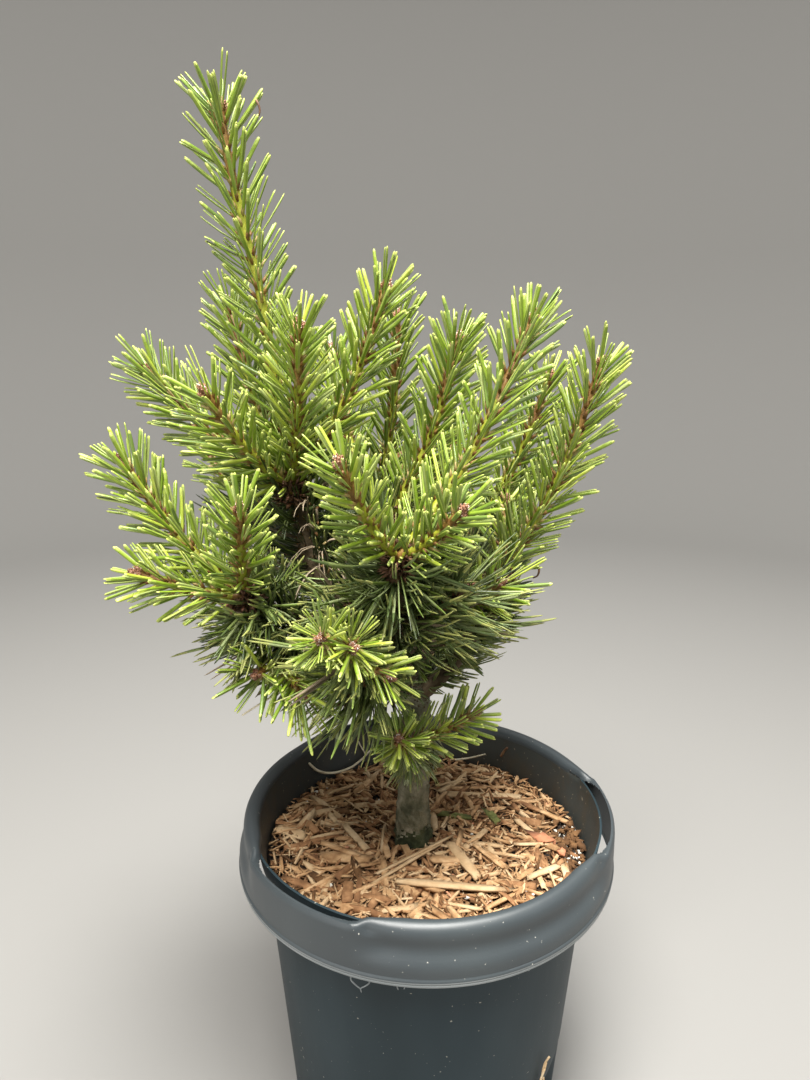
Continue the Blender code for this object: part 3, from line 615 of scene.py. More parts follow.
def scaled_bud(pile, tip, axis, length, radius, seed, pale=0.22):
    """An egg-shaped bud under overlapping pointed scales with resin."""
    g = np.random.default_rng(seed)
    axis = unit(axis)
    u = perp(axis[None])[0]
    w = np.cross(axis, u)
    k, sides = 6, 8
    s = np.linspace(0.0, 1.0, k)
    prof = np.sin(np.pi * (0.16 + 0.80 * s) ** 0.9) ** 0.8
    phi = np.arange(sides) * TAU / sides
    ring = (tip + axis * (s[:, None, None] * length)
            + (u * np.cos(phi)[None, :, None] + w * np.sin(phi)[None, :, None]) * (prof[:, None, None] * radius))
    v = np.vstack([ring.reshape(-1, 3), tip + axis * length * 1.06, tip - axis * 0.2])
    pile.add(v * MM, ring_faces(k, sides, closed_tip=True, closed_base=True), 0)
    rows = 5
    for r in range(rows):
        f = (r + 0.2) / rows
        rr = radius * float(np.sin(np.pi * (0.16 + 0.80 * f) ** 0.9) ** 0.8)
        for j in range(5):
            a = j * TAU / 5 + r * 0.63 + g.uniform(-0.12, 0.12)
            out = u * math.cos(a) + w * math.sin(a)
            tan = np.cross(axis, out)
            b0 = tip + axis * length * f + out * rr * 0.93
            hgt, wid = length * 0.26, max(0.22, rr * 0.5)
            top = b0 + axis * hgt + out * (0.42 - 0.30 * f)
            mid = b0 + axis * hgt * 0.5 + out * 0.40
            vv = np.array([b0 - tan * wid, b0 + tan * wid, mid + tan * wid * 0.7, mid - tan * wid * 0.7,
                           top, b0 + out * -0.3])
            ff = [(0, 1, 2, 3), (3, 2, 4, -1), (0, 3, 5, -1), (3, 4, 5, -1), (4, 2, 5, -1), (2, 1, 5, -1), (1, 0, 5, -1)]
            pile.add(vv * MM, ff, 1 if g.random() < pale else 0)


def dry_scales(pile, centre, axis, radius, n, seed, size=3.2, reach=5.0):
    """The ragged rosette of old bud scales round a knot of shoots."""
    g = np.random.default_rng(seed)
    axis = unit(axis)
    u = perp(axis[None])[0]
    w = np.cross(axis, u)
    for _ in range(n):
        a, h = g.uniform(0, TAU), g.uniform(-reach, reach)
        out = u * math.cos(a) + w * math.sin(a)
        lift = g.uniform(0.1, 1.3)
        d = unit(out * math.cos(lift) + axis * math.sin(lift) * (1 if h > -1 else -0.3) + g.normal(0, 0.2, 3))
        tan = unit(np.cross(d, out + axis * 0.3))
        b0 = centre + axis * h + out * radius * g.uniform(0.75, 1.05)
        L, wd = size * g.uniform(0.6, 1.3), size * g.uniform(0.14, 0.3)
        curl = out * L * g.uniform(-0.2, 0.35)
        thick = np.cross(d, tan) * 0.22
        mid = b0 + d * L * 0.5 + curl * 0.4
        top = b0 + d * L + curl
        vv = np.array([b0 - tan * wd * 0.8, b0 + tan * wd * 0.8, mid + tan * wd, mid - tan * wd, top,
                       b0 + thick * 1.5, mid + thick * 1.5])
        ff = [(0, 1, 2, 3), (3, 2, 4, -1), (1, 0, 5, -1), (0, 3, 6, 5), (2, 1, 5, 6), (3, 4, 6, -1), (4, 2, 6, -1)]
        pile.add(vv * MM, ff, 2 if g.random() < 0.8 else 0)


def shoot(pile, path, r0, r1, density, length, angle, seed, start=2.0, bud=1.0, fresh=(0.42, 0.36, 0.22, 0.0),
          width=2.1, skew=None, brown=0.68, close=0.28, top_more=0.0, foot=0.0):
    """A young shoot: stem, spiral of needle pairs in sheaths, end buds."""
    g = np.random.default_rng(seed)
    L = path.length
    rad = lambda s: r0 + (r1 - r0) * (s / L)
    cu = cushions(0.32, 1.9, 0.42, 1.0)
    limb_mesh(stems, path, rad, 12, lambda s: np.where((s > L * brown) | (s < foot), 1, 0), cu, 1.1)
    n = int(density * (L - start))
    s = start + (np.arange(n) + g.uniform(-0.3, 0.3, n)) / density
    if top_more:
        s = np.r_[s, L - np.linspace(2.0, 16.0, int(top_more))]
        n = len(s)
    s = np.clip(s, 0, L - 0.3)
    phi = np.arange(n) * GOLD + g.uniform(-0.15, 0.15, n)
    p, t, u, w = path.at(s)
    out = u * np.cos(phi)[:, None] + w * np.sin(phi)[:, None]
    f = s / L
    a = np.radians(angle) * (1.12 - 0.22 * f - close * smooth01(0.82, 1.0, f)) + g.normal(0, 0.09, n)
    d = t * np.cos(a)[:, None] + out * np.sin(a)[:, None]
    if skew is not None:
        d = unit(d + np.asarray(skew, float))
    base = p + out * (rad(s) * 0.8)[:, None]
    ln = length * (0.84 + 0.20 * smooth01(0.0, 0.25, f) - 0.10 * smooth01(0.9, 1.0, f)) * g.normal(1.0, 0.06, n)
    ln = ln * np.where((a < 0.5) & (f > 0.9), 0.82, 1.0)
    sheaths(sheath_pile, base, d, np.minimum(ln * 0.3, g.uniform(5.2, 7.6, n)), g.uniform(0.84, 0.98, n) * width / 1.8,
            (g.random(n) < 0.35).astype(int))
    across = unit(np.cross(d, out))
    turn = g.uniform(-1.3, 1.3, n)
    c, sn = np.cos(turn)[:, None], np.sin(turn)[:, None]
    split = across * c + np.cross(d, across) * sn
    tone = g.choice((0, 1, 2, 5), n, p=fresh)
    tip, inner = np.full(n, 3), np.full(n, 4)
    edge = np.where(g.random(n) < 0.7, np.where(tone == 5, 3, 6), tone)
    open_ = np.abs(g.normal(0.035, 0.03, n))
    common = (t * g.uniform(0.0, 0.10, n)[:, None] + g.normal(0, 0.02, (n, 3)))
    for sign in (-1.0, 1.0):
        dd = unit(d + split * (sign * open_)[:, None])
        bend = common - split * (sign * open_ * 0.3)[:, None] + g.normal(0, 0.008, (n, 3))
        needles(pile, YOUNG, base + d * 1.2 + split * (sign * 0.3), dd, split * sign,
                ln * g.uniform(0.96, 1.03, n), g.uniform(0.94, 1.08, n) * width, bend,
                g.uniform(-0.4, 0.4, n), tone, tip, inner, edge_tone=edge)
    if bud > 0:
        e, te, ue, we = (q[0] for q in path.at(L))
        scaled_bud(buds, e - te * 1.0, te, g.uniform(5.6, 7.0) * bud, g.uniform(1.9, 2.2) * bud, seed + 7)
        for k in range(4):
            b = k * TAU / 4 + g.uniform(-0.3, 0.3)
            o = ue * math.cos(b) + we * math.sin(b)
            scaled_bud(buds, e + o * 1.5 * bud - te * 1.8, unit(te + o * 0.5), g.uniform(3.4, 4.8) * bud,
                       g.uniform(1.2, 1.55) * bud, seed + 11 + k)


groups = {"needles_crown_top": Pile(), "needles_crown_left": Pile(), "needles_crown_front": Pile(),
          "needles_crown_right": Pile(), "needles_crown_back": Pile()}
nodes_of = {k: [] for k in groups}


def group_of(name):
    if "rear" in name or ("back" in name and name not in ("needles_top_back_left", "needles_right_back_up")):
        return "needles_crown_back"
    if "top" in name or name == "needles_leader":
        return "needles_crown_top"
    if "left" in name and "front_left" not in name:
        return "needles_crown_left"
    if "right" in name and "front_low" not in name and "low_right" not in name:
        return "needles_crown_right"
    return "needles_crown_front"


leader = Path(trunk_path.p[trunk_path.p[:, 2] > 466][::8])
shoot(groups["needles_crown_top"], leader, 3.0, 2.3, 0.60, 26.0, 46, 900, start=4.0, width=2.2, brown=0.8,
      close=0.12, top_more=7)
nodes_of["needles_crown_top"].append("needles_leader")

# Short bright shoots low on the plant: needle length, angle, pairs per mm.
SHORT = {
    "needles_front_low_right": (18.5, 50, 0.85), "needles_low_right": (20.0, 52, 1.0),
    "needles_low_front": (17.0, 58, 1.15), "needles_left_low": (25.0, 48, 0.8),
    "needles_left_low_front": (26.0, 40, 0.95), "needles_right_front": (24.0, 52, 1.0),
    "needles_right_inner": (24.0, 50, 0.8), "needles_rear_low": (26.0, 50, 0.75),
}
BRIGHT = (0.38, 0.18, 0.08, 0.36)
# Shares of the fresh, mid, bluish and bright tones on the shoots in the light: their larger share of the bright tone is
# painted light.
PAINTED_LIGHT_MIXES = {
    "needles_top_front": (0.42, 0.14, 0.10, 0.34), "needles_top_front_left": (0.46, 0.18, 0.12, 0.24),
    "needles_top_right": (0.44, 0.20, 0.14, 0.22), "needles_right_up": (0.46, 0.22, 0.12, 0.20),
    "needles_front_left": (0.46, 0.20, 0.12, 0.22), "needles_left_out": (0.46, 0.16, 0.10, 0.28),
}
# Pairs of needles per mm of shoot, where it differs from the usual.
PAIRS = {
    "needles_left_up": 0.98, "needles_left_out": 0.86, "needles_left_front": 0.95,
    "needles_top_front": 1.0, "needles_top_left": 0.95, "needles_top_front_left": 0.82,
    "needles_top_back_left": 0.8, "needles_top_right": 0.85, "needles_front_left": 0.9,
    "needles_front_right": 1.0, "needles_front_up": 0.84, "needles_centre_up": 0.98,
    "needles_back_up": 0.75, "needles_back_mid": 0.8, "needles_right_back_up": 0.84,
    "needles_right_up": 0.84,
}
for i, (name, (whorl, x, y, z, reach)) in enumerate(SHOOTS.items()):
    key = group_of(name)
    nodes_of[key].append(name)
    seed = 1000 + 31 * i
    if name == "needles_front_low":
        # two small shoots side by side from one knot
        a = np.array(WHORL[whorl], float)
        for k, tip in enumerate(((-57, -108, 403), (-40, -108, 398))):
            b = np.array(tip, float)
            path = Path((a, (a * 0.45 + b * 0.55) + np.array([-2.0 if k == 0 else 1.0, -1.0, 2.0]), b))
            shoot(groups[key], path, 2.2, 1.8, 0.95, 18.5, 52, seed + k, start=5.0, bud=0.8, fresh=BRIGHT, width=1.9)
        continue
    path = shoot_path(whorl, x, y, z)
    if name == "needles_right_front":
        path = Path(((16, -18, 388), (29, -31, 397), (42, -42, 411)))
    if name == "needles_low_right":
        path = Path(((-14, -33, 302), (8, -30, 309), (31, -27, 321)))
    if name in SHORT:
        length, angle, dens = SHORT[name]
        bright = BRIGHT if name not in ("needles_rear_low",) else (0.42, 0.36, 0.22, 0.0)
        shoot(groups[key], path, 2.3, 1.8, dens, length, angle, seed, start=3.0, bud=0.75, fresh=bright, width=2.0)
        continue
    dens = PAIRS.get(name, 0.70)
    g = np.random.default_rng(seed + 3)
    # the listed shoots take more of the bright tone, painted light; the others a random mix
    fresh = PAINTED_LIGHT_MIXES.get(name, g.dirichlet((6.0, 5.0, 3.0, 1.6)))
    shoot(groups[key], path, 2.8, 2.1, dens, reach * 1.13, 44 if path.length > 45 else 48, seed,
          start=5.5 if whorl in ("left", "front", "top", "centre", "right") else 4.0, fresh=fresh,
          foot=6.5 if whorl in ("left", "front", "top", "right") else 0.0)
for key, pile in groups.items():
    ob = pile.build(key, YOUNG_TONES)
    print("COUNT", key, pile.triangles())
    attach(ob, "root")
    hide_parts(*nodes_of[key])

# Older needles on the wood of the years before: longer, darker and curved.
old_front, old_rear = Pile(), Pile()
DOWN = np.array([0.0, 0.0, -1.0])


# The true outline of the crown's underside, seen from the front: how far the
# needles reach to the left and to the right at each height, in the plane y = 0.
FRONT_VIEW = np.array([-14.0, -478.0, 554.0])
LEFT_EDGE = ((273, -73), (280, -85), (294, -95), (307, -103), (314, -121), (327, -131), (342, -140), (358, -144),
             (369, -161), (385, -171), (393, -177))
RIGHT_EDGE = ((308, -1), (316, 3.6), (323, 12), (332, 26.5), (339, 44.7), (357, 49.3), (364, 54.9), (374, 60),
              (389, 65), (408, 72), (426, 83.5))


def in_outline(tip):
    q = FRONT_VIEW + (tip - FRONT_VIEW) * (-FRONT_VIEW[1] / (tip[:, 1] - FRONT_VIEW[1]))[:, None]
    x, z = q[:, 0], q[:, 2]
    left, right = np.array(LEFT_EDGE), np.array(RIGHT_EDGE)
    ok = (x > np.interp(z, left[:, 0], left[:, 1]) - 1.5) | (z < 273)
    return ok & ((x < np.interp(z, right[:, 0], right[:, 1]) + 1.5) | (z < 306) | (z > 426))


def old_needles(path, s0, s1, density, length, angle, seed, radius=3.6, droop=0.16, dead=0.02, width=1.8,
                arc=0.30, phis=None, pale=False, dark=False, face=None, mix=(0.30, 0.33, 0.37, 0.0)):
    g = np.random.default_rng(seed)
    n = max(2, int(density * (s1 - s0)))
    s = s0 + (np.arange(n) + g.uniform(-0.4, 0.4, n)) / density
    s = np.clip(s, 0, path.length)
    phi = np.arange(n) * GOLD + g.uniform(-0.3, 0.3, n)
    if phis:
        phi = g.uniform(phis[0], phis[1], n)
    p, t, u, w = path.at(s)
    out = u * np.cos(phi)[:, None] + w * np.sin(phi)[:, None]
    a = np.radians(angle) * g.normal(1.0, 0.15, n)
    d = unit(t * np.cos(a)[:, None] + out * np.sin(a)[:, None] + g.normal(0, 0.055, (n, 3)))
    base = p + out * (radius * 0.85)
    ln = length * np.clip(g.normal(1.0, 0.13, n), 0.6, 1.25)
    # needles that would pass the outline are shorter, or left out
    full, ok = ln.copy(), np.zeros(n, bool)
    for share in (0.52, 0.64, 0.76, 0.88, 1.0):
        fits = in_outline(base + (d + t * max(arc, 0.0) * 1.1 + DOWN * droop * 0.6) * (full * share)[:, None])
        ok |= fits
        ln = np.where(fits, full * share, ln)
    if face is not None:
        ok &= out @ unit(np.array(face, float)) > 0.3
    p, t, out, d, base, ln = p[ok], t[ok], out[ok], d[ok], base[ok], ln[ok]
    n = len(ln)
    if n == 0:
        return
    sheaths(sheath_pile, base, d, g.uniform(1.8, 2.8, n), g.uniform(0.66, 0.8, n), (g.random(n) < 0.3).astype(int))
    across = unit(np.cross(d, out))
    turn = g.uniform(-1.5, 1.5, n)
    split = across * np.cos(turn)[:, None] + np.cross(d, across) * np.sin(turn)[:, None]
    # with dark set the needles take mostly the darkest tone and seldom a pale tip, edge or inner face: painted shade
    # inside the crown
    tone = g.choice((6, 4), n) if pale else g.choice((0, 1, 2, 8), n, p=(0.66, 0.2, 0.14, 0.0) if dark else mix)
    gone = g.random(n) < dead
    tone = np.where(gone, 5, tone)
    tip = np.where(gone, 5, np.where(g.random(n) < (0.2 if dark else 0.6), 3, tone))
    inner = np.where(gone, 5, 1 if dark else 4)
    edge = np.where(gone | (g.random(n) < (0.85 if dark else 0.45)), tone, 7)
    open_ = np.abs(g.normal(0.05, 0.05, n))
    swing = g.normal(arc, 0.14, n)[:, None]
    common = (t * swing + DOWN * (g.uniform(0.2, 1.0, n)[:, None] * droop) + g.normal(0, 0.045, (n, 3)))
    curl = t * (swing * 0.4) + g.normal(0, 0.03, (n, 3))
    old = old_rear if path.p[:, 1].mean() > 14 else old_front
    for sign in (-1.0, 1.0):
        dd = unit(d + split * (sign * open_)[:, None])
        needles(old, AGED, base + d * 1.0 + split * (sign * 0.26), dd, split * sign,
                ln * g.uniform(0.94, 1.05, n), g.uniform(0.9, 1.1, n) * width,
                common + g.normal(0, 0.012, (n, 3)), g.uniform(-0.9, 0.9, n), tone, tip, inner,
                edge_tone=edge, curl=curl)


# Pairs on each limb: from which share of its length, pairs per mm, needle
# length, angle to the limb, droop.
ON_LIMB = {
    "bough_right": (0.14, 1.0, 18, 66, 0.10), "bough_rear": (0.45, 1.3, 38, 60, 0.16),
    "bough_front": (0.36, 1.9, 38, 66, 0.16), "bough_left": (0.40, 2.0, 30, 66, 0.14),
    "bough_centre": (0.36, 1.6, 40, 60, 0.16), "bough_back": (0.40, 1.5, 42, 60, 0.16),
    "bough_back_right": (0.6, 1.5, 28, 48, 0.08), "bough_back_left": (0.40, 1.5, 40, 60, 0.16),
    "twig_low": (0.22, 3.4, 13, 84, 0.6), "twig_front": (0.34, 1.9, 34, 68, 0.38),
    "twig_left": (0.30, 1.6, 22, 66, 0.25),
}
for i, (name, path) in enumerate(limb_paths.items()):
    L = path.length
    share, dens, length, angle, droop = ON_LIMB[name]
    # twig_left and twig_front take much of the lighter old tone: painted light low in the crown
    old_needles(path, L * share, L - 1, dens, length, angle, 300 + i, 3.7 if name[0] == "b" else 2.7, droop=droop,
                dead=0.03, width=1.0 if name == "twig_low" else 1.8, pale=name == "twig_low",
                mix=(0.06, 0.26, 0.23, 0.45) if name in ("twig_left", "twig_front") else (0.30, 0.33, 0.37, 0.0))
crown_base = Path(trunk_path.p[(trunk_path.p[:, 2] > 384) & (trunk_path.p[:, 2] < 462)][::6])
# the old needles by the trunk inside the crown are dark: painted shade
old_needles(crown_base, 0, crown_base.length, 1.7, 32, 66, 360, 6.2, dead=0.16, dark=True)
# fans of last year's needles under the three knots that show; the two on the boughs take much of the lighter old tone,
# painted light on their shaded side
for k, (name, dens, length) in enumerate((("bough_front", 4.4, 36), ("bough_left", 4.2, 36))):
    path = limb_paths[name]
    old_needles(path, path.length - 16, path.length - 1, dens, length, 96, 410 + k, 4.4, droop=0.22, dead=0.0, arc=0.12,
                width=2.0, mix=(0.08, 0.40, 0.17, 0.35))
knot = Path(trunk_path.p[(trunk_path.p[:, 2] > 438) & (trunk_path.p[:, 2] < 457)][::6])
old_needles(knot, 0, knot.length, 1.5, 30, 92, 412, 5.6, droop=0.15, dead=0.05, arc=0.05)
# dead grey needles caught in the dark under the topmost knot
hung = Path(((-70, -16, 452), (-66, -20, 436), (-62, -22, 414), (-56, -24, 396)))
old_needles(hung, 0, hung.length, 0.42, 24, 118, 413, 2.0, droop=0.6, dead=1.0, width=1.25, face=(0.2, -1, 0))
middle = Path(trunk_path.p[(trunk_path.p[:, 2] > 322) & (trunk_path.p[:, 2] < 386)][::6])
# these too are dark: painted shade inside the crown
old_needles(middle, 0, middle.length, 0.9, 28, 92, 365, 8.6, droop=0.25, dead=0.16, dark=True)
tuft = Path(trunk_path.p[(trunk_path.p[:, 2] > 262) & (trunk_path.p[:, 2] < 296)][::6])
old_needles(tuft, 8, tuft.length, 5.0, 11, 112, 370, 9.4, droop=0.35, width=0.8, arc=-0.1, pale=True)



def single(base, tip, up, tone, g=np.random.default_rng(99)):
    """One pair of long needles from base to tip, arched by up (share of its length)."""
    base, tip = np.array(base, float), np.array(tip, float)
    run = tip - base
    L = np.linalg.norm(run)
    lift = np.array([0, 0, 1.0]) * up
    d = unit(run / L + lift)
    split = unit(np.cross(d, [0.0, 0.3, 1.0]))
    for sign in (-1.0, 1.0):
        dd = unit(d + split * sign * 0.02)[None]
        needles(old_front, AGED, base[None] + split * sign * 0.3, dd, split[None] * sign, np.array([L * (0.97 if sign > 0 else 1.0)]),
                np.array([1.6]), -lift[None] * 1.0 + g.normal(0, 0.01, (1, 3)), np.array([0.3]), np.array([tone]),
                np.array([3]), np.array([4]), edge_tone=np.array([7]))


for base, tip, up, tone in (
        ((-101, -40, 376), (-153.5, -40, 364), 0.10, 1), ((-98, -38, 372), (-140, -42, 362), 0.06, 2),
        ((38, -12, 374), (79, -20, 381), -0.14, 2), ((36, -10, 371), (72, -18, 377), -0.10, 0),
        ((34, -10, 368), (63, -16, 366), 0.02, 2), ((30, -8, 364), (58, -12, 362), 0.05, 0),
        ((40, -12, 378), (70, -24, 384), -0.10, 1)):
    single(base, tip, up, tone)

# Side twigs inside the old masses: where each leaves the wood, its end,
# pairs per mm, needle length, droop.
OLD_TWIGS = (
    ((-62, -14, 385), (-104, -52, 380), 1.5, 26, 0.20),
    ((-18, -40, 384), (20, -62, 414), 1.5, 34, 0.20),
    ((4, 0, 354), (38, -20, 382), 1.3, 24, 0.15),
    ((16, 2, 370), (50, -8, 398), 1.2, 22, 0.10),
    ((-28, -22, 352), (-50, -52, 342), 1.0, 24, 0.30),
    ((-26, 30, 360), (14, 84, 384), 1.1, 34, 0.18),
    ((-66, 26, 404), (-90, 86, 398), 1.1, 36, 0.18),
    ((-40, 22, 388), (-36, 66, 420), 1.1, 36, 0.14),
    ((-46, -26, 388), (-46, -58, 400), 1.5, 30, 0.20),
    ((-34, 14, 376), (-2, 44, 410), 1.1, 32, 0.10),
    ((-58, 16, 394), (-66, 46, 440), 1.1, 34, 0.10),
    ((-4, 8, 336), (28, 34, 368), 1.2, 26, 0.15),
    ((-10, 8, 318), (-34, 30, 344), 1.0, 26, 0.20),
    ((-8, 10, 330), (-2, 52, 352), 1.7, 30, 0.20),
    ((-8, 10, 320), (12, 46, 334), 1.3, 26, 0.25),
    ((-14, 10, 334), (-44, 46, 352), 1.5, 30, 0.25),
)
twigs = Pile()
for k, (a, b, dens, length, droop) in enumerate(OLD_TWIGS):
    a, b = np.array(a, float), np.array(b, float)
    mid = (a + b) / 2 + np.array([0, 0, -0.06 * np.linalg.norm(b - a)])
    path = Path((a, mid, b))
    limb_mesh(twigs, path, lambda s, path=path: 2.3 - 0.8 * s / path.length, 10, 0, cushions(0.35, 1.9, 0.45, 1.0), 1.2)
    old_needles(path, path.length * 0.12, path.length, dens, length, 58, 380 + k, 1.8, droop=droop, dead=0.03)
    dry_scales(buds, b, path.t[-1], 2.4, 26, 700 + k, size=2.8, reach=3.0)
ob = twigs.build("old_twigs", [BOUGH])
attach(ob, "root")
for pile, name, nodes_ in ((old_front, "old_needles_front_side", OLD_NODES[:6]),
                           (old_rear, "old_needles_rear_side", OLD_NODES[6:])):
    print("COUNT", name, pile.triangles())
    old_ob = pile.build(name, OLD_TONES)
    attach(old_ob, "root")
    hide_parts(*nodes_)

# Ragged scale rosettes where the shoots of one year spring from the last.
for k, (name, at) in enumerate(WHORL.items()):
    big = name in ("left", "front", "top", "right")
    ends = [p for n, p in limb_paths.items() if LIMBS[n][1] == name]
    axis = ends[0].t[-1] if ends else np.array([-0.1, 0, 1.0])
    dry_scales(buds, np.array(at, float) + (np.array([0, -2.5, 0.5]) if big else 0.0), axis, 7.0 if big else 3.8,
               230 if big else 46, 600 + k, size=5.6 if big else 3.2, reach=6.5 if big else 5.0)
    for j in range(3 if big else 1):
        g = np.random.default_rng(640 + 5 * k + j)
        o = unit(g.normal(0, 1, 3) + np.array([0, -0.6, 0.4]))
        scaled_bud(buds, np.array(at, float) + o * 3.6, o, g.uniform(3.6, 5.2), g.uniform(1.2, 1.7), 660 + 5 * k + j)
dry_scales(buds, np.array([-83.5, 3.5, 464.0]), np.array([-0.1, 0, 1.0]), 5.2, 70, 620, size=4.0)

for pile, name, mats, sl in ((stems, "young_stems", [STEM_GREEN, STEM_BROWN], "bark"),
                             (buds, "buds", [BUD, RESIN, SCALE], "bark"),
                             (sheath_pile, "needle_sheaths", [SHEATH, SHEATH_PALE], "bark")):
    ob = pile.build(name, mats, smooth=(name != "buds"))
    print("COUNT", name, pile.triangles())
    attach(ob, "root")

# -------------------------------------------------------------------- pot
BASE_R, TAPER, FLARE_Z, TOP_Z, TOP_R = 95.3, 0.0769, 214.0, 235.6, 114.6
GRIPS, GRIP_HALF = (-7.0, -130.0, 113.0), 20.0
DRAINS, DRAIN_HALF, DRAIN_TOP, DRAIN_DEPTH = (-28.0, 62.0, 152.0, -118.0), 15.0, 76.0, 9.0
SKIN = 1.4


def wall_radius(z):
    z = np.asarray(z, float)
    f = np.clip((z - FLARE_Z) / (TOP_Z - FLARE_Z), 0, 1)
    r0 = BASE_R + TAPER * FLARE_Z
    return np.where(z > FLARE_Z, r0 + (TOP_R - r0) * f ** 1.3, BASE_R + TAPER * z)


def angle_from(deg, centre):
    return (deg - centre + 180.0) % 360.0 - 180.0


def recess(deg, z):
    deep = np.zeros(np.broadcast(deg, z).shape)
    for c in DRAINS:
        d = np.abs(angle_from(deg, c))
        deep = np.maximum(deep, (1 - smooth01(DRAIN_HALF * 0.45, DRAIN_HALF, d)) * (1 - smooth01(22, DRAIN_TOP, z)))
    return DRAIN_DEPTH * deep


def pot():
    cols = 480
    deg = np.arange(cols) * 360.0 / cols
    wall = [z for z in (4, 8, 14, 20, 26, 33, 40, 47, 54, 61, 68, 76, 90, 110, 135, 160, 185, 200, 208,
                        214, 219, 224, 228, 231, 233.5, 235)]
    inner = [(float(wall_radius(z)) - SKIN, z) for z in wall]
    g_inner = inner
    floor = [(20, SKIN), (45, SKIN), (70, SKIN), (86, SKIN), (91.5, SKIN + 0.3), (93.6, SKIN + 1.4)]
    crown = [(113.3, 236.2), (113.45, 237.7), (114.1, 239.2), (115.2, 240.3), (116.6, 240.9), (118.0, 240.8),
             (119.3, 240.2), (120.4, 239.1), (121.1, 237.6), (121.4, 235.8)]
    collar = [(121.3, 233.8), (121.0, 231.8), (120.8, 229.8), (120.85, 227.9), (121.3, 226.0), (122.2, 224.0),
              (123.35, 222.0), (124.35, 220.2), (124.9, 218.0), (124.95, 215.4), (124.85, 212.4), (125.0, 211.4),
              (125.5, 210.9), (125.7, 210.3), (125.6, 209.8), (125.1, 209.4), (124.9, 209.1), (125.1, 208.7),
              (125.45, 208.3), (125.45, 207.8), (125.0, 207.5)]
    g_crown = [(114.0, 235.9), (115.0, 236.3), (116.4, 236.8), (118.0, 237.2), (119.6, 237.5), (121.0, 237.8),
               (122.3, 238.0), (123.4, 238.2), (124.1, 238.3), (124.5, 237.3)]
    g_collar = [(124.65, 235.4), (124.7, 233.2), (124.75, 230.8), (124.8, 228.4), (124.85, 226.0), (124.9, 223.6),
                (124.9, 221.2), (124.9, 218.9), (124.9, 216.8), (124.9, 214.6), (124.85, 212.4), (125.0, 211.4),
                (125.5, 210.9), (125.7, 210.3), (125.6, 209.8), (125.1, 209.4), (124.9, 209.1), (125.1, 208.7),
                (125.45, 208.3), (125.45, 207.8), (125.0, 207.5)]
    a = np.array(floor + inner + crown + collar)
    b = np.array(floor + g_inner + g_crown + g_collar)
    i_inner = len(floor)
    i_crown = i_inner + len(inner)
    i_collar = i_crown + len(crown)
    n = len(a)
    share, wide, lean = np.zeros(cols), np.zeros(cols), np.zeros(cols)
    for c in GRIPS:
        d = np.abs(angle_from(deg, c))
        lean = np.maximum(lean, 1 - smooth01(GRIP_HALF + 1.0, GRIP_HALF + 13.0, d))
        share = np.maximum(share, 1 - smooth01(GRIP_HALF - 1.0, GRIP_HALF + 4.0, d))
        wide = np.maximum(wide, 1 - smooth01(GRIP_HALF - 3.0, GRIP_HALF + 9.0, d))
    # the collar's step fades out over a longer way than the slot
    mixed = np.where((np.arange(n) >= i_collar)[None, :], wide[:, None], share[:, None])
    R = a[None, :, 0] * (1 - mixed) + b[None, :, 0] * mixed
    Z = a[None, :, 1] * (1 - mixed) + b[None, :, 1] * mixed
    # about a grip the wall leans out to the collar and ends in a cut edge
    up = np.where(np.arange(n) < i_crown, smooth01(198, 232, a[:, 1]), 0.0)
    up[i_crown:i_collar] = np.clip((121.0 - a[i_crown:i_collar, 0]) / 7.7, 0, 1)
    R = R + 4.6 * lean[:, None] * up[None, :]
    Z = Z + 2.4 * lean[:, None] * np.where(np.arange(n) < i_crown, smooth01(222, 235, a[:, 1]), 0.0)[None, :]
    low = np.arange(n)[None, :] < i_crown
    R = R - np.where(low & (R > 70), recess(deg[:, None], Z), 0)
    # small hand-moulded unevenness of rim and wall
    A = np.radians(deg)[:, None]
    R = R + 0.35 * np.sin(2 * A + 0.7) * smooth01(120, 240, Z) + 0.12 * np.sin(5 * A + 2.0)
    Z = Z + 0.3 * np.sin(3 * A + 1.0) * smooth01(200, 236, Z) * (R > 112) * (Z < 240)
    V = np.stack([R * np.cos(A), R * np.sin(A), Z], -1)
    verts = [V.reshape(-1, 3)]
    faces, mats = [], []
    # the crown is cut aslant, so that a pointed flap is left along the collar
    cut = np.r_[GRIP_HALF + 2.0, np.linspace(GRIP_HALF + 2.0, GRIP_HALF - 6.0, 7)]
    for i in range(cols):
        k = (i + 1) % cols
        mid = (deg[i] + 360.0 / cols / 2)
        dn = min(abs(float(angle_from(mid, c))) for c in GRIPS)
        for j in range(n - 1):
            if i_crown - 1 <= j < i_crown + 7 and dn < cut[j - i_crown + 1]:
                continue
            faces.append((i * n + j, k * n + j, k * n + j + 1, i * n + j + 1))
            # crown and collar take the collar plastic; the wall below takes its darker copy, painted shade
            mats.append(1 if j >= i_crown else 0)
    verts.append(np.array([[0, 0, SKIN]]))
    centre = cols * n
    for i in range(cols):
        faces.append((i * n, (i + 1) % cols * n, centre, -1))
        mats.append(0)
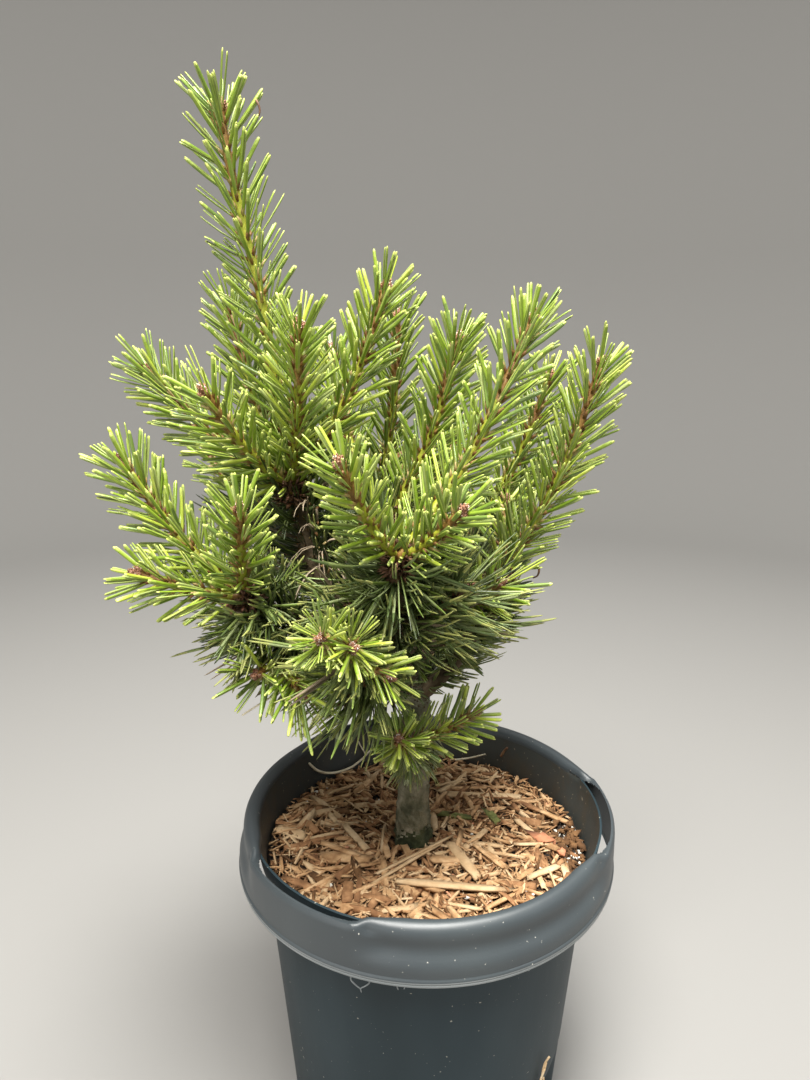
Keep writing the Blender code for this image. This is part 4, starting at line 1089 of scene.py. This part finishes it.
    # the drain openings
    V2 = np.vstack(verts)
    F, M = np.array(faces), np.array(mats)
    keep = []
    for f in F:
        ids = [x for x in f if x >= 0]
        c = V2[ids].mean(0)
        hole = False
        if c[2] < 40 and math.hypot(c[0], c[1]) > 75:
            az = math.degrees(math.atan2(c[1], c[0]))
            for dc in DRAINS:
                d = math.radians(float(angle_from(az, dc))) * 86.0
                if (d / 11.0) ** 2 + ((c[2] - 20.0) / 8.5) ** 2 < 1.0:
                    hole = True
        keep.append(not hole)
    keep = np.array(keep)
    pile = Pile()
    pile.add(V2 * MM, F[keep], M[keep])
    ob = pile.build("pot", [POT_WALL_PAINTED_SHADE, POT_COLLAR, POT_INSIDE, POT_FLASH_AND_PAINTED_HIGHLIGHT])
    mod = ob.modifiers.new("skin", "SOLIDIFY")
    mod.thickness = SKIN * MM
    mod.offset = -1.0
    mod.use_even_offset = False
    return ob


pot_ob = pot()
bpy.context.view_layer.update()
graph = bpy.context.evaluated_depsgraph_get()
solid = bpy.data.meshes.new_from_object(pot_ob.evaluated_get(graph))
pot_ob.modifiers.clear()
pot_ob.data = solid
solid.shade_smooth()
solid.set_sharp_from_angle(angle=math.radians(48))
# the wall's inner face is the dirty side; the lip's two beads take a pale painted highlight
for poly in solid.polygons:
    c, nrm = poly.center, poly.normal
    r = math.hypot(c.x, c.y)
    if poly.material_index == 0 and c.z > 0.006 and (nrm.x * c.x + nrm.y * c.y) < 0:
        poly.material_index = 2
    elif poly.material_index == 1 and r > 0.1249 and (0.2096 < c.z < 0.2108 or c.z < 0.2082):
        poly.material_index = 3
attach(pot_ob, "root")
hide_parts("pot_body", "pot_rim")


# ------------------------------------------------------------- potting mix
def hill(x, y):
    """The uneven top of the mix."""
    r = np.hypot(x, y)
    f = smooth01(20, 55, r)
    w = np.sin(x * 0.07 + 1.1) * np.cos(y * 0.06 - 0.4)
    return SOIL_TOP - 1.6 + f * 2.0 * (w + 0.5 * smooth01(80, 108, r))


def mix():
    rings, cols = 46, 150
    rad = np.linspace(2.0, 108.4, rings)
    a = np.arange(cols) * TAU / cols
    g = np.random.default_rng(77)
    x, y = rad[:, None] * np.cos(a), rad[:, None] * np.sin(a)
    z = hill(x, y) + g.normal(0, 0.7, x.shape) * (rad[:, None] < 107)
    v = np.stack([x, y, z], -1).reshape(-1, 3)
    side = []
    for zz in (190, 120, 76, 58, 40, 22, 3.0):
        r = wall_radius(zz) - SKIN - 0.6 - 1.1 * recess(np.degrees(a), np.full(cols, zz - 6.0))
        side.append(np.stack([r * np.cos(a), r * np.sin(a), np.full(cols, float(zz))], -1))
    v = np.vstack([v, np.vstack(side), [[0, 0, SOIL_TOP - 1.6]], [[0, 0, 3.0]]])
    total = rings + 7
    f = []
    for i in range(total - 1):
        for j in range(cols):
            k = (j + 1) % cols
            f.append((i * cols + j, (i + 1) * cols + j, (i + 1) * cols + k, i * cols + k))
    c0 = total * cols
    for j in range(cols):
        k = (j + 1) % cols
        f.append((j, k, c0, -1))
        f.append(((total - 1) * cols + k, (total - 1) * cols + j, c0 + 1, -1))
    p = Pile()
    p.add(v * MM, f, 0)
    return p.build("potting_mix_surface", [MIX])


mix_ob = mix()
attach(mix_ob, "root")
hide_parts("potting_mix")


def chip(pile, centre, yaw, pitch, roll, length, width, thick, tone, g, bend=0.0, blunt=True, k=4):
    """A splinter of wood: a straight bar with torn, mostly blunt ends."""
    s = np.linspace(-0.5, 0.5, k)
    if blunt:
        wprof = np.r_[g.uniform(0.55, 1.0), g.uniform(0.85, 1.1, k - 2), g.uniform(0.35, 1.0)]
    else:
        wprof = np.r_[0.3, np.linspace(0.8, 1.0, k - 2), 0.2]
    sect = np.array([(-1, -0.8), (-0.9, 0.8), (0.9, 1.0), (1.0, -0.7)])
    jag = g.normal(0, 0.09, (k, 4, 2))
    ends = np.zeros((k, 4))
    ends[0], ends[-1] = g.normal(0, width * 0.35, 4), g.normal(0, width * 0.35, 4)
    cx = (s * length)[:, None] + ends
    cy = (bend * length * (s ** 2 - 0.08))[:, None] + (sect[None, :, 0] + jag[..., 0]) * width / 2 * wprof[:, None]
    cz = (0.25 * bend * length * (0.25 - s ** 2))[:, None] + (sect[None, :, 1] + jag[..., 1]) * thick / 2
    v = np.stack([cx, cy, cz], -1).reshape(-1, 3)
    v = np.vstack([v, v[-4:].mean(0), v[:4].mean(0)])
    cr, sr = math.cos(roll), math.sin(roll)
    v = v @ np.array([[1, 0, 0], [0, cr, sr], [0, -sr, cr]])
    cp, sp = math.cos(pitch), math.sin(pitch)
    v = v @ np.array([[cp, 0, sp], [0, 1, 0], [-sp, 0, cp]])
    cy_, sy = math.cos(yaw), math.sin(yaw)
    v = v @ np.array([[cy_, sy, 0], [-sy, cy_, 0], [0, 0, 1]])
    pile.add((v + centre) * MM, ring_faces(k, 4, closed_tip=True, closed_base=True), tone)


# Single chips that stand out: both ends (mm over the mix), width, thickness,
# tone (0 tan, 1 cream, 2 brown, 3 dark, 4 reddish, 5 green).
PLACED = (
    ((-36, -52, 6.0), (11, -9, 7.5), 2.2, 1.4, 1), ((-33, -41, 5.0), (19, -3, 9.0), 2.6, 1.5, 1),
    ((-21, -47, 6.0), (50, -58, 7.0), 6.0, 2.2, 1), ((16, 53, 6.0), (74, 47, 6.0), 6.0, 2.2, 1),
    ((20, 60, 6.5), (62, 58, 6.0), 3.4, 1.8, 0), ((-106, 10, 4.5), (-84, -2, 6.0), 8.5, 2.0, 1),
    ((17, -8, 6.0), (33, -46, 6.5), 7.0, 2.0, 1), ((33, -10, 6.5), (50, -36, 6.0), 2.6, 1.6, 0),
    ((-50, -46, 5.0), (-50, -68, 6.5), 8.0, 3.0, 2), ((-43, -46, 5.5), (-44, -66, 5.5), 4.0, 2.4, 2),
    ((-72, -8, 6.0), (-46, -22, 7.0), 5.0, 1.8, 0), ((-58, 14, 6.0), (-40, -16, 7.5), 5.0, 1.8, 1),
    ((-96, -14, 5.0), (-60, 2, 6.0), 3.0, 2.0, 2), ((-78, -34, 5.0), (-30, -30, 6.0), 3.0, 1.6, 0),
    ((-70, -20, 5.0), (-36, -26, 6.0), 8.0, 2.4, 0), ((-30, -20, 5.5), (-26, -52, 6.0), 4.5, 1.8, 0),
    ((76, 0, 7.0), (86, -10, 6.5), 9.0, 4.0, 4), ((90, -14, 5.5), (93, -20, 5.0), 5.0, 3.0, 4),
    ((60, -8, 6.0), (86, -10, 6.0), 2.6, 1.6, 1), ((66, 20, 6.0), (74, 4, 6.5), 4.5, 2.0, 1),
    ((84, 30, 5.5), (100, 14, 5.0), 4.0, 1.8, 0), ((70, 42, 5.0), (84, 30, 5.5), 4.0, 2.0, 2),
    ((12, 27, 5.5), (34, 21, 6.5), 6.0, 1.8, 5), ((46, 30, 6.0), (52, 19, 6.5), 6.0, 2.0, 5),
    ((0, -24, 6.0), (24, -26, 6.0), 8.0, 2.2, 0), ((-74, 34, 5.0), (-64, 16, 6.5), 4.0, 1.8, 1),
    ((-84, 40, 5.0), (-52, 52, 5.0), 3.0, 1.6, 0), ((36, -70, 5.5), (60, -56, 5.5), 3.0, 1.6, 0),
    ((10, -64, 5.0), (34, -72, 5.5), 4.0, 1.8, 1), ((66, -44, 6.0), (88, -30, 5.5), 4.5, 1.8, 1),
    ((90, -30, 5.0), (92, -50, 5.0), 5.0, 2.0, 1), ((-20, -70, 5.0), (10, -82, 5.0), 3.0, 1.6, 0),
)


def mulch():
    g = np.random.default_rng(91)
    pile = Pile()
    for i in range(4700):
        r = 106.5 * math.sqrt(g.random())
        a = g.uniform(0, TAU)
        x, y = r * math.cos(a), r * math.sin(a)
        length = float(np.clip(g.lognormal(2.18, 0.55), 3, 34))
        if r + length * 0.5 > 110:
            length = max(4.0, (110 - r) * 1.6)
        if math.hypot(x + 9, y - 2) < 13.0:
            continue
        bare = x > 88 and -34 < y < 22
        if bare and g.random() < 0.8:
            continue
        width = float(np.clip(length * g.uniform(0.08, 0.30), 0.9, 5.4))
        thick = float(np.clip(width * g.uniform(0.22, 0.6), 0.5, 2.2))
        yaw = g.uniform(0, TAU)
        end = np.array([x, y]) + np.array([math.cos(yaw), math.sin(yaw)]) * length / 2
        if max(np.hypot(*end), np.hypot(*(2 * np.array([x, y]) - end))) > 108.5:
            yaw = a + math.pi / 2 + g.normal(0, 0.15)
            length = min(length, 18.0)
        lift = g.random()
        z = float(hill(x, y)) + 0.1 + 4.6 * lift
        # chips lying low take mostly brown and dark tones, raised ones more tan and cream: painted shade between the
        # chips
        p = (0.36, 0.24, 0.27, 0.12, 0.01) if lift > 0.5 else (0.18, 0.04, 0.36, 0.41, 0.01)
        tone = int(g.choice(5, p=p))
        if bare:
            z, tone = float(hill(x, y)) + g.uniform(0, 1.0), int(g.choice((2, 3)))
        chip(pile, np.array([x, y, z]), yaw, g.normal(0, min(0.42, 2.3 / length)), g.normal(0, 0.75), length, width,
             thick, tone, g, g.normal(0, 0.035), k=3 if length < 9 else 4)
    for a, b, width, thick, tone in PLACED:
        a, b = np.array(a, float), np.array(b, float)
        ends = [np.array([q[0], q[1], float(hill(q[0], q[1])) + q[2] * 0.85]) for q in (a, b)]
        d = ends[1] - ends[0]
        L = float(np.linalg.norm(d))
        chip(pile, (ends[0] + ends[1]) / 2, math.atan2(d[1], d[0]), math.asin(float(d[2]) / L), g.normal(0, 0.12), L,
             width, thick, tone, g, g.normal(0, 0.012), k=6)
    # crumbs of perlite, most of them at the bare patch
    for i in range(84):
        if i < 46:
            x, y = g.uniform(90, 107), g.uniform(-34, 22)
        else:
            r, a = 105 * math.sqrt(g.random()), g.uniform(0, TAU)
            x, y = r * math.cos(a), r * math.sin(a)
        if math.hypot(x, y) > 107.5 or math.hypot(x + 9, y - 2) < 14:
            continue
        q = float(np.clip(g.lognormal(0.35, 0.45), 0.7, 3.4))
        chip(pile, np.array([x, y, float(hill(x, y)) + (0.9 if i < 46 else 3.2)]), g.uniform(0, TAU), g.normal(0, 0.5),
             g.normal(0, 0.5), q * 1.2, q, q * 0.8, 6, g, k=3)
    # dark crumbs of mix between the chips
    for i in range(500):
        r, a = 107 * math.sqrt(g.random()), g.uniform(0, TAU)
        x, y = r * math.cos(a), r * math.sin(a)
        if i < 160:
            x, y = g.uniform(86, 107), g.uniform(-36, 24)
        if math.hypot(x, y) > 107.5 or math.hypot(x + 9, y - 2) < 12.5:
            continue
        q = float(np.clip(g.lognormal(0.7, 0.5), 0.8, 4.5))
        chip(pile, np.array([x, y, float(hill(x, y)) + g.uniform(0.2, 2.0)]), g.uniform(0, TAU), g.normal(0, 0.6),
             g.normal(0, 0.6), q * 1.3, q, q * 0.7, 3, g, k=3)
    return pile


mulch_pile = mulch()
print("mulch", mulch_pile.triangles())
ob = mulch_pile.build("mulch", CHIP_TONES, smooth=False)
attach(ob, "root")

# --------------------------------------------------------------- small trim
trim = Pile()


def thread(points, r0, r1, tone, sides=6, step=1.2):
    path = Path(points, 0.6)
    limb_mesh(trim, path, lambda s: r0 + (r1 - r0) * s / path.length, sides, tone, None, step)


# dry needles fallen from the crown and caught in it
thread(((-89.2, 67.8, 228.7), (-81.3, 70.4, 219.9), (-70.6, 76.6, 214.7), (-58.3, 85.9, 213.6), (-49.4, 94.4, 216.2),
        (-42.9, 100.0, 220.8)), 1.1, 0.8, 3)
thread(((-54.9, 103.7, 248.0), (-54.4, 103.9, 238.0), (-52.2, 102.2, 227.9), (-48.7, 99.2, 222.3), (-46.2, 97.2, 218.4)),
       0.75, 0.5, 3)
thread(((26.7, 96.5, 214.5), (38, 93.5, 218), (50, 89, 224)), 0.8, 0.55, 3)
thread(((62.9, 90.4, 221.2), (65.4, 89.6, 226.7), (67.8, 88.4, 230.2)), 1.3, 1.0, 2)
thread(((-94.2, -7, 672.0), (-92.8, -8, 669.4), (-92.3, -8, 666.6), (-92.9, -8, 664.4)), 0.7, 0.45, 2)
thread(((66.0, -12, 415), (68.2, -13, 411), (67.6, -13, 406.4), (65.0, -12, 404.6)), 0.9, 0.5, 2)
thread(((-83, -58, 353), (-92, -59, 347), (-101, -60, 341.5), (-109, -60, 336)), 0.6, 0.55, 3)
# flash left hanging from the lip
thread(((-43.6, -116.6, 207.6), (-44.5, -116.2, 203.5), (-42.0, -116.4, 199.8), (-39.0, -117.0, 197.6)), 0.55, 0.35, 1)
thread(((-33.4, -119.8, 207.4), (-34.2, -119.4, 203.6), (-37.0, -118.4, 200.4), (-39.0, -117.6, 198.4),
        (-38.6, -117.4, 195.8)), 0.5, 0.3, 1)
thread(((-18.4, -123.2, 207.4), (-18.6, -122.6, 204.6), (-18.0, -121.8, 201.8)), 0.5, 0.3, 1)
thread(((-14.6, -123.7, 207.4), (-14.3, -123.0, 205.0), (-14.8, -122.4, 202.8)), 0.45, 0.3, 1)
thread(((56.0, -111.4, 207.4), (55.6, -110.4, 203.6)), 0.45, 0.25, 1)


def on_wall(az, z, lift):
    r = float(wall_radius(z)) + lift
    return (r * math.cos(math.radians(az)), r * math.sin(math.radians(az)), z)


# fine roots at the edge of the drain recess
g_root = np.random.default_rng(512)
for j in range(9):
    a0, z0 = -40.5 + g_root.normal(0, 0.8), 96 - 4.5 * j
    pts = [on_wall(a0 - 0.9 * q + g_root.normal(0, 0.55) - 0.18 * j, z0 - 6.0 * q + g_root.normal(0, 1.0),
                   0.7 + abs(g_root.normal(0, 0.8))) for q in range(4)]
    thread(pts, 0.75, 0.35, 0)
ob = trim.build("dry_needles_and_roots", [ROOT, POT_FLASH_AND_PAINTED_HIGHLIGHT, SCALE, DRY])
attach(ob, "root")

# ------------------------------------------------------------------- stage
# a pale floor that sweeps up into a plain wall all round
sweep_r = np.r_[np.linspace(0.0, 1.7, 14)[1:], 1.7 + 0.8 * np.sin(np.linspace(0, math.pi / 2, 16))[1:], 2.5, 2.5]
sweep_z = np.r_[np.zeros(13), 0.8 - 0.8 * np.cos(np.linspace(0, math.pi / 2, 16))[1:], 1.4, 2.2]
turn_n = 96
ang = np.arange(turn_n) * TAU / turn_n
sv = np.stack([sweep_r[:, None] * np.cos(ang), sweep_r[:, None] * np.sin(ang),
               sweep_z[:, None] * np.ones(turn_n)], -1).reshape(-1, 3)
sv = np.vstack([sv, [[0, 0, 0]]])
sv[:, 2] -= 0.0006
sf = ring_faces(len(sweep_r), turn_n)[:, ::-1]
cap = np.array([(j, (j + 1) % turn_n, len(sv) - 1, -1) for j in range(turn_n)])
sweep = Pile()
sweep.add(sv, np.vstack([sf, cap]), 0)
mat, nodes, links, shader = new_mat("floor")
shader.inputs["Base Color"].default_value = (*lin((138, 137, 135)), 1)
shader.inputs["Roughness"].default_value = 0.85
floor = sweep.build("floor", [mat])

world = bpy.data.worlds.new("studio")
bpy.context.scene.world = world
world.use_nodes = True
world.node_tree.nodes["Background"].inputs["Color"].default_value = (1.0, 0.985, 0.95, 1)
world.node_tree.nodes["Background"].inputs["Strength"].default_value = 0.5
view = bpy.context.scene.view_settings
view.view_transform = "Standard"
view.look = "None"
view.exposure = 0.0


def area(name, location, target, size, power, colour):
    data = bpy.data.lights.new(name, "AREA")
    data.shape = "DISK"
    data.size = size
    data.energy = power
    data.color = colour
    ob = bpy.data.objects.new(name, data)
    ob.location = location
    ob.rotation_euler = (Vector(target) - Vector(location)).to_track_quat("-Z", "Y").to_euler()
    bpy.context.scene.collection.objects.link(ob)


area("key", (-0.3, -0.9, 2.0), (0, 0, 0.5), 0.8, 49.0, (1.0, 0.965, 0.91))
area("fill", (1.3, -0.8, 1.0), (0, 0, 0.4), 1.4, 4.0, (0.97, 0.98, 1.0))
area("low", (-0.9, -1.2, 0.35), (-0.08, 0, 0.36), 0.9, 5.0, (1.0, 0.985, 0.95))
area("top", (0.1, -0.3, 2.1), (0, 0, 0.3), 0.8, 82.0, (1.0, 0.985, 0.94))

bpy.context.view_layer.update()
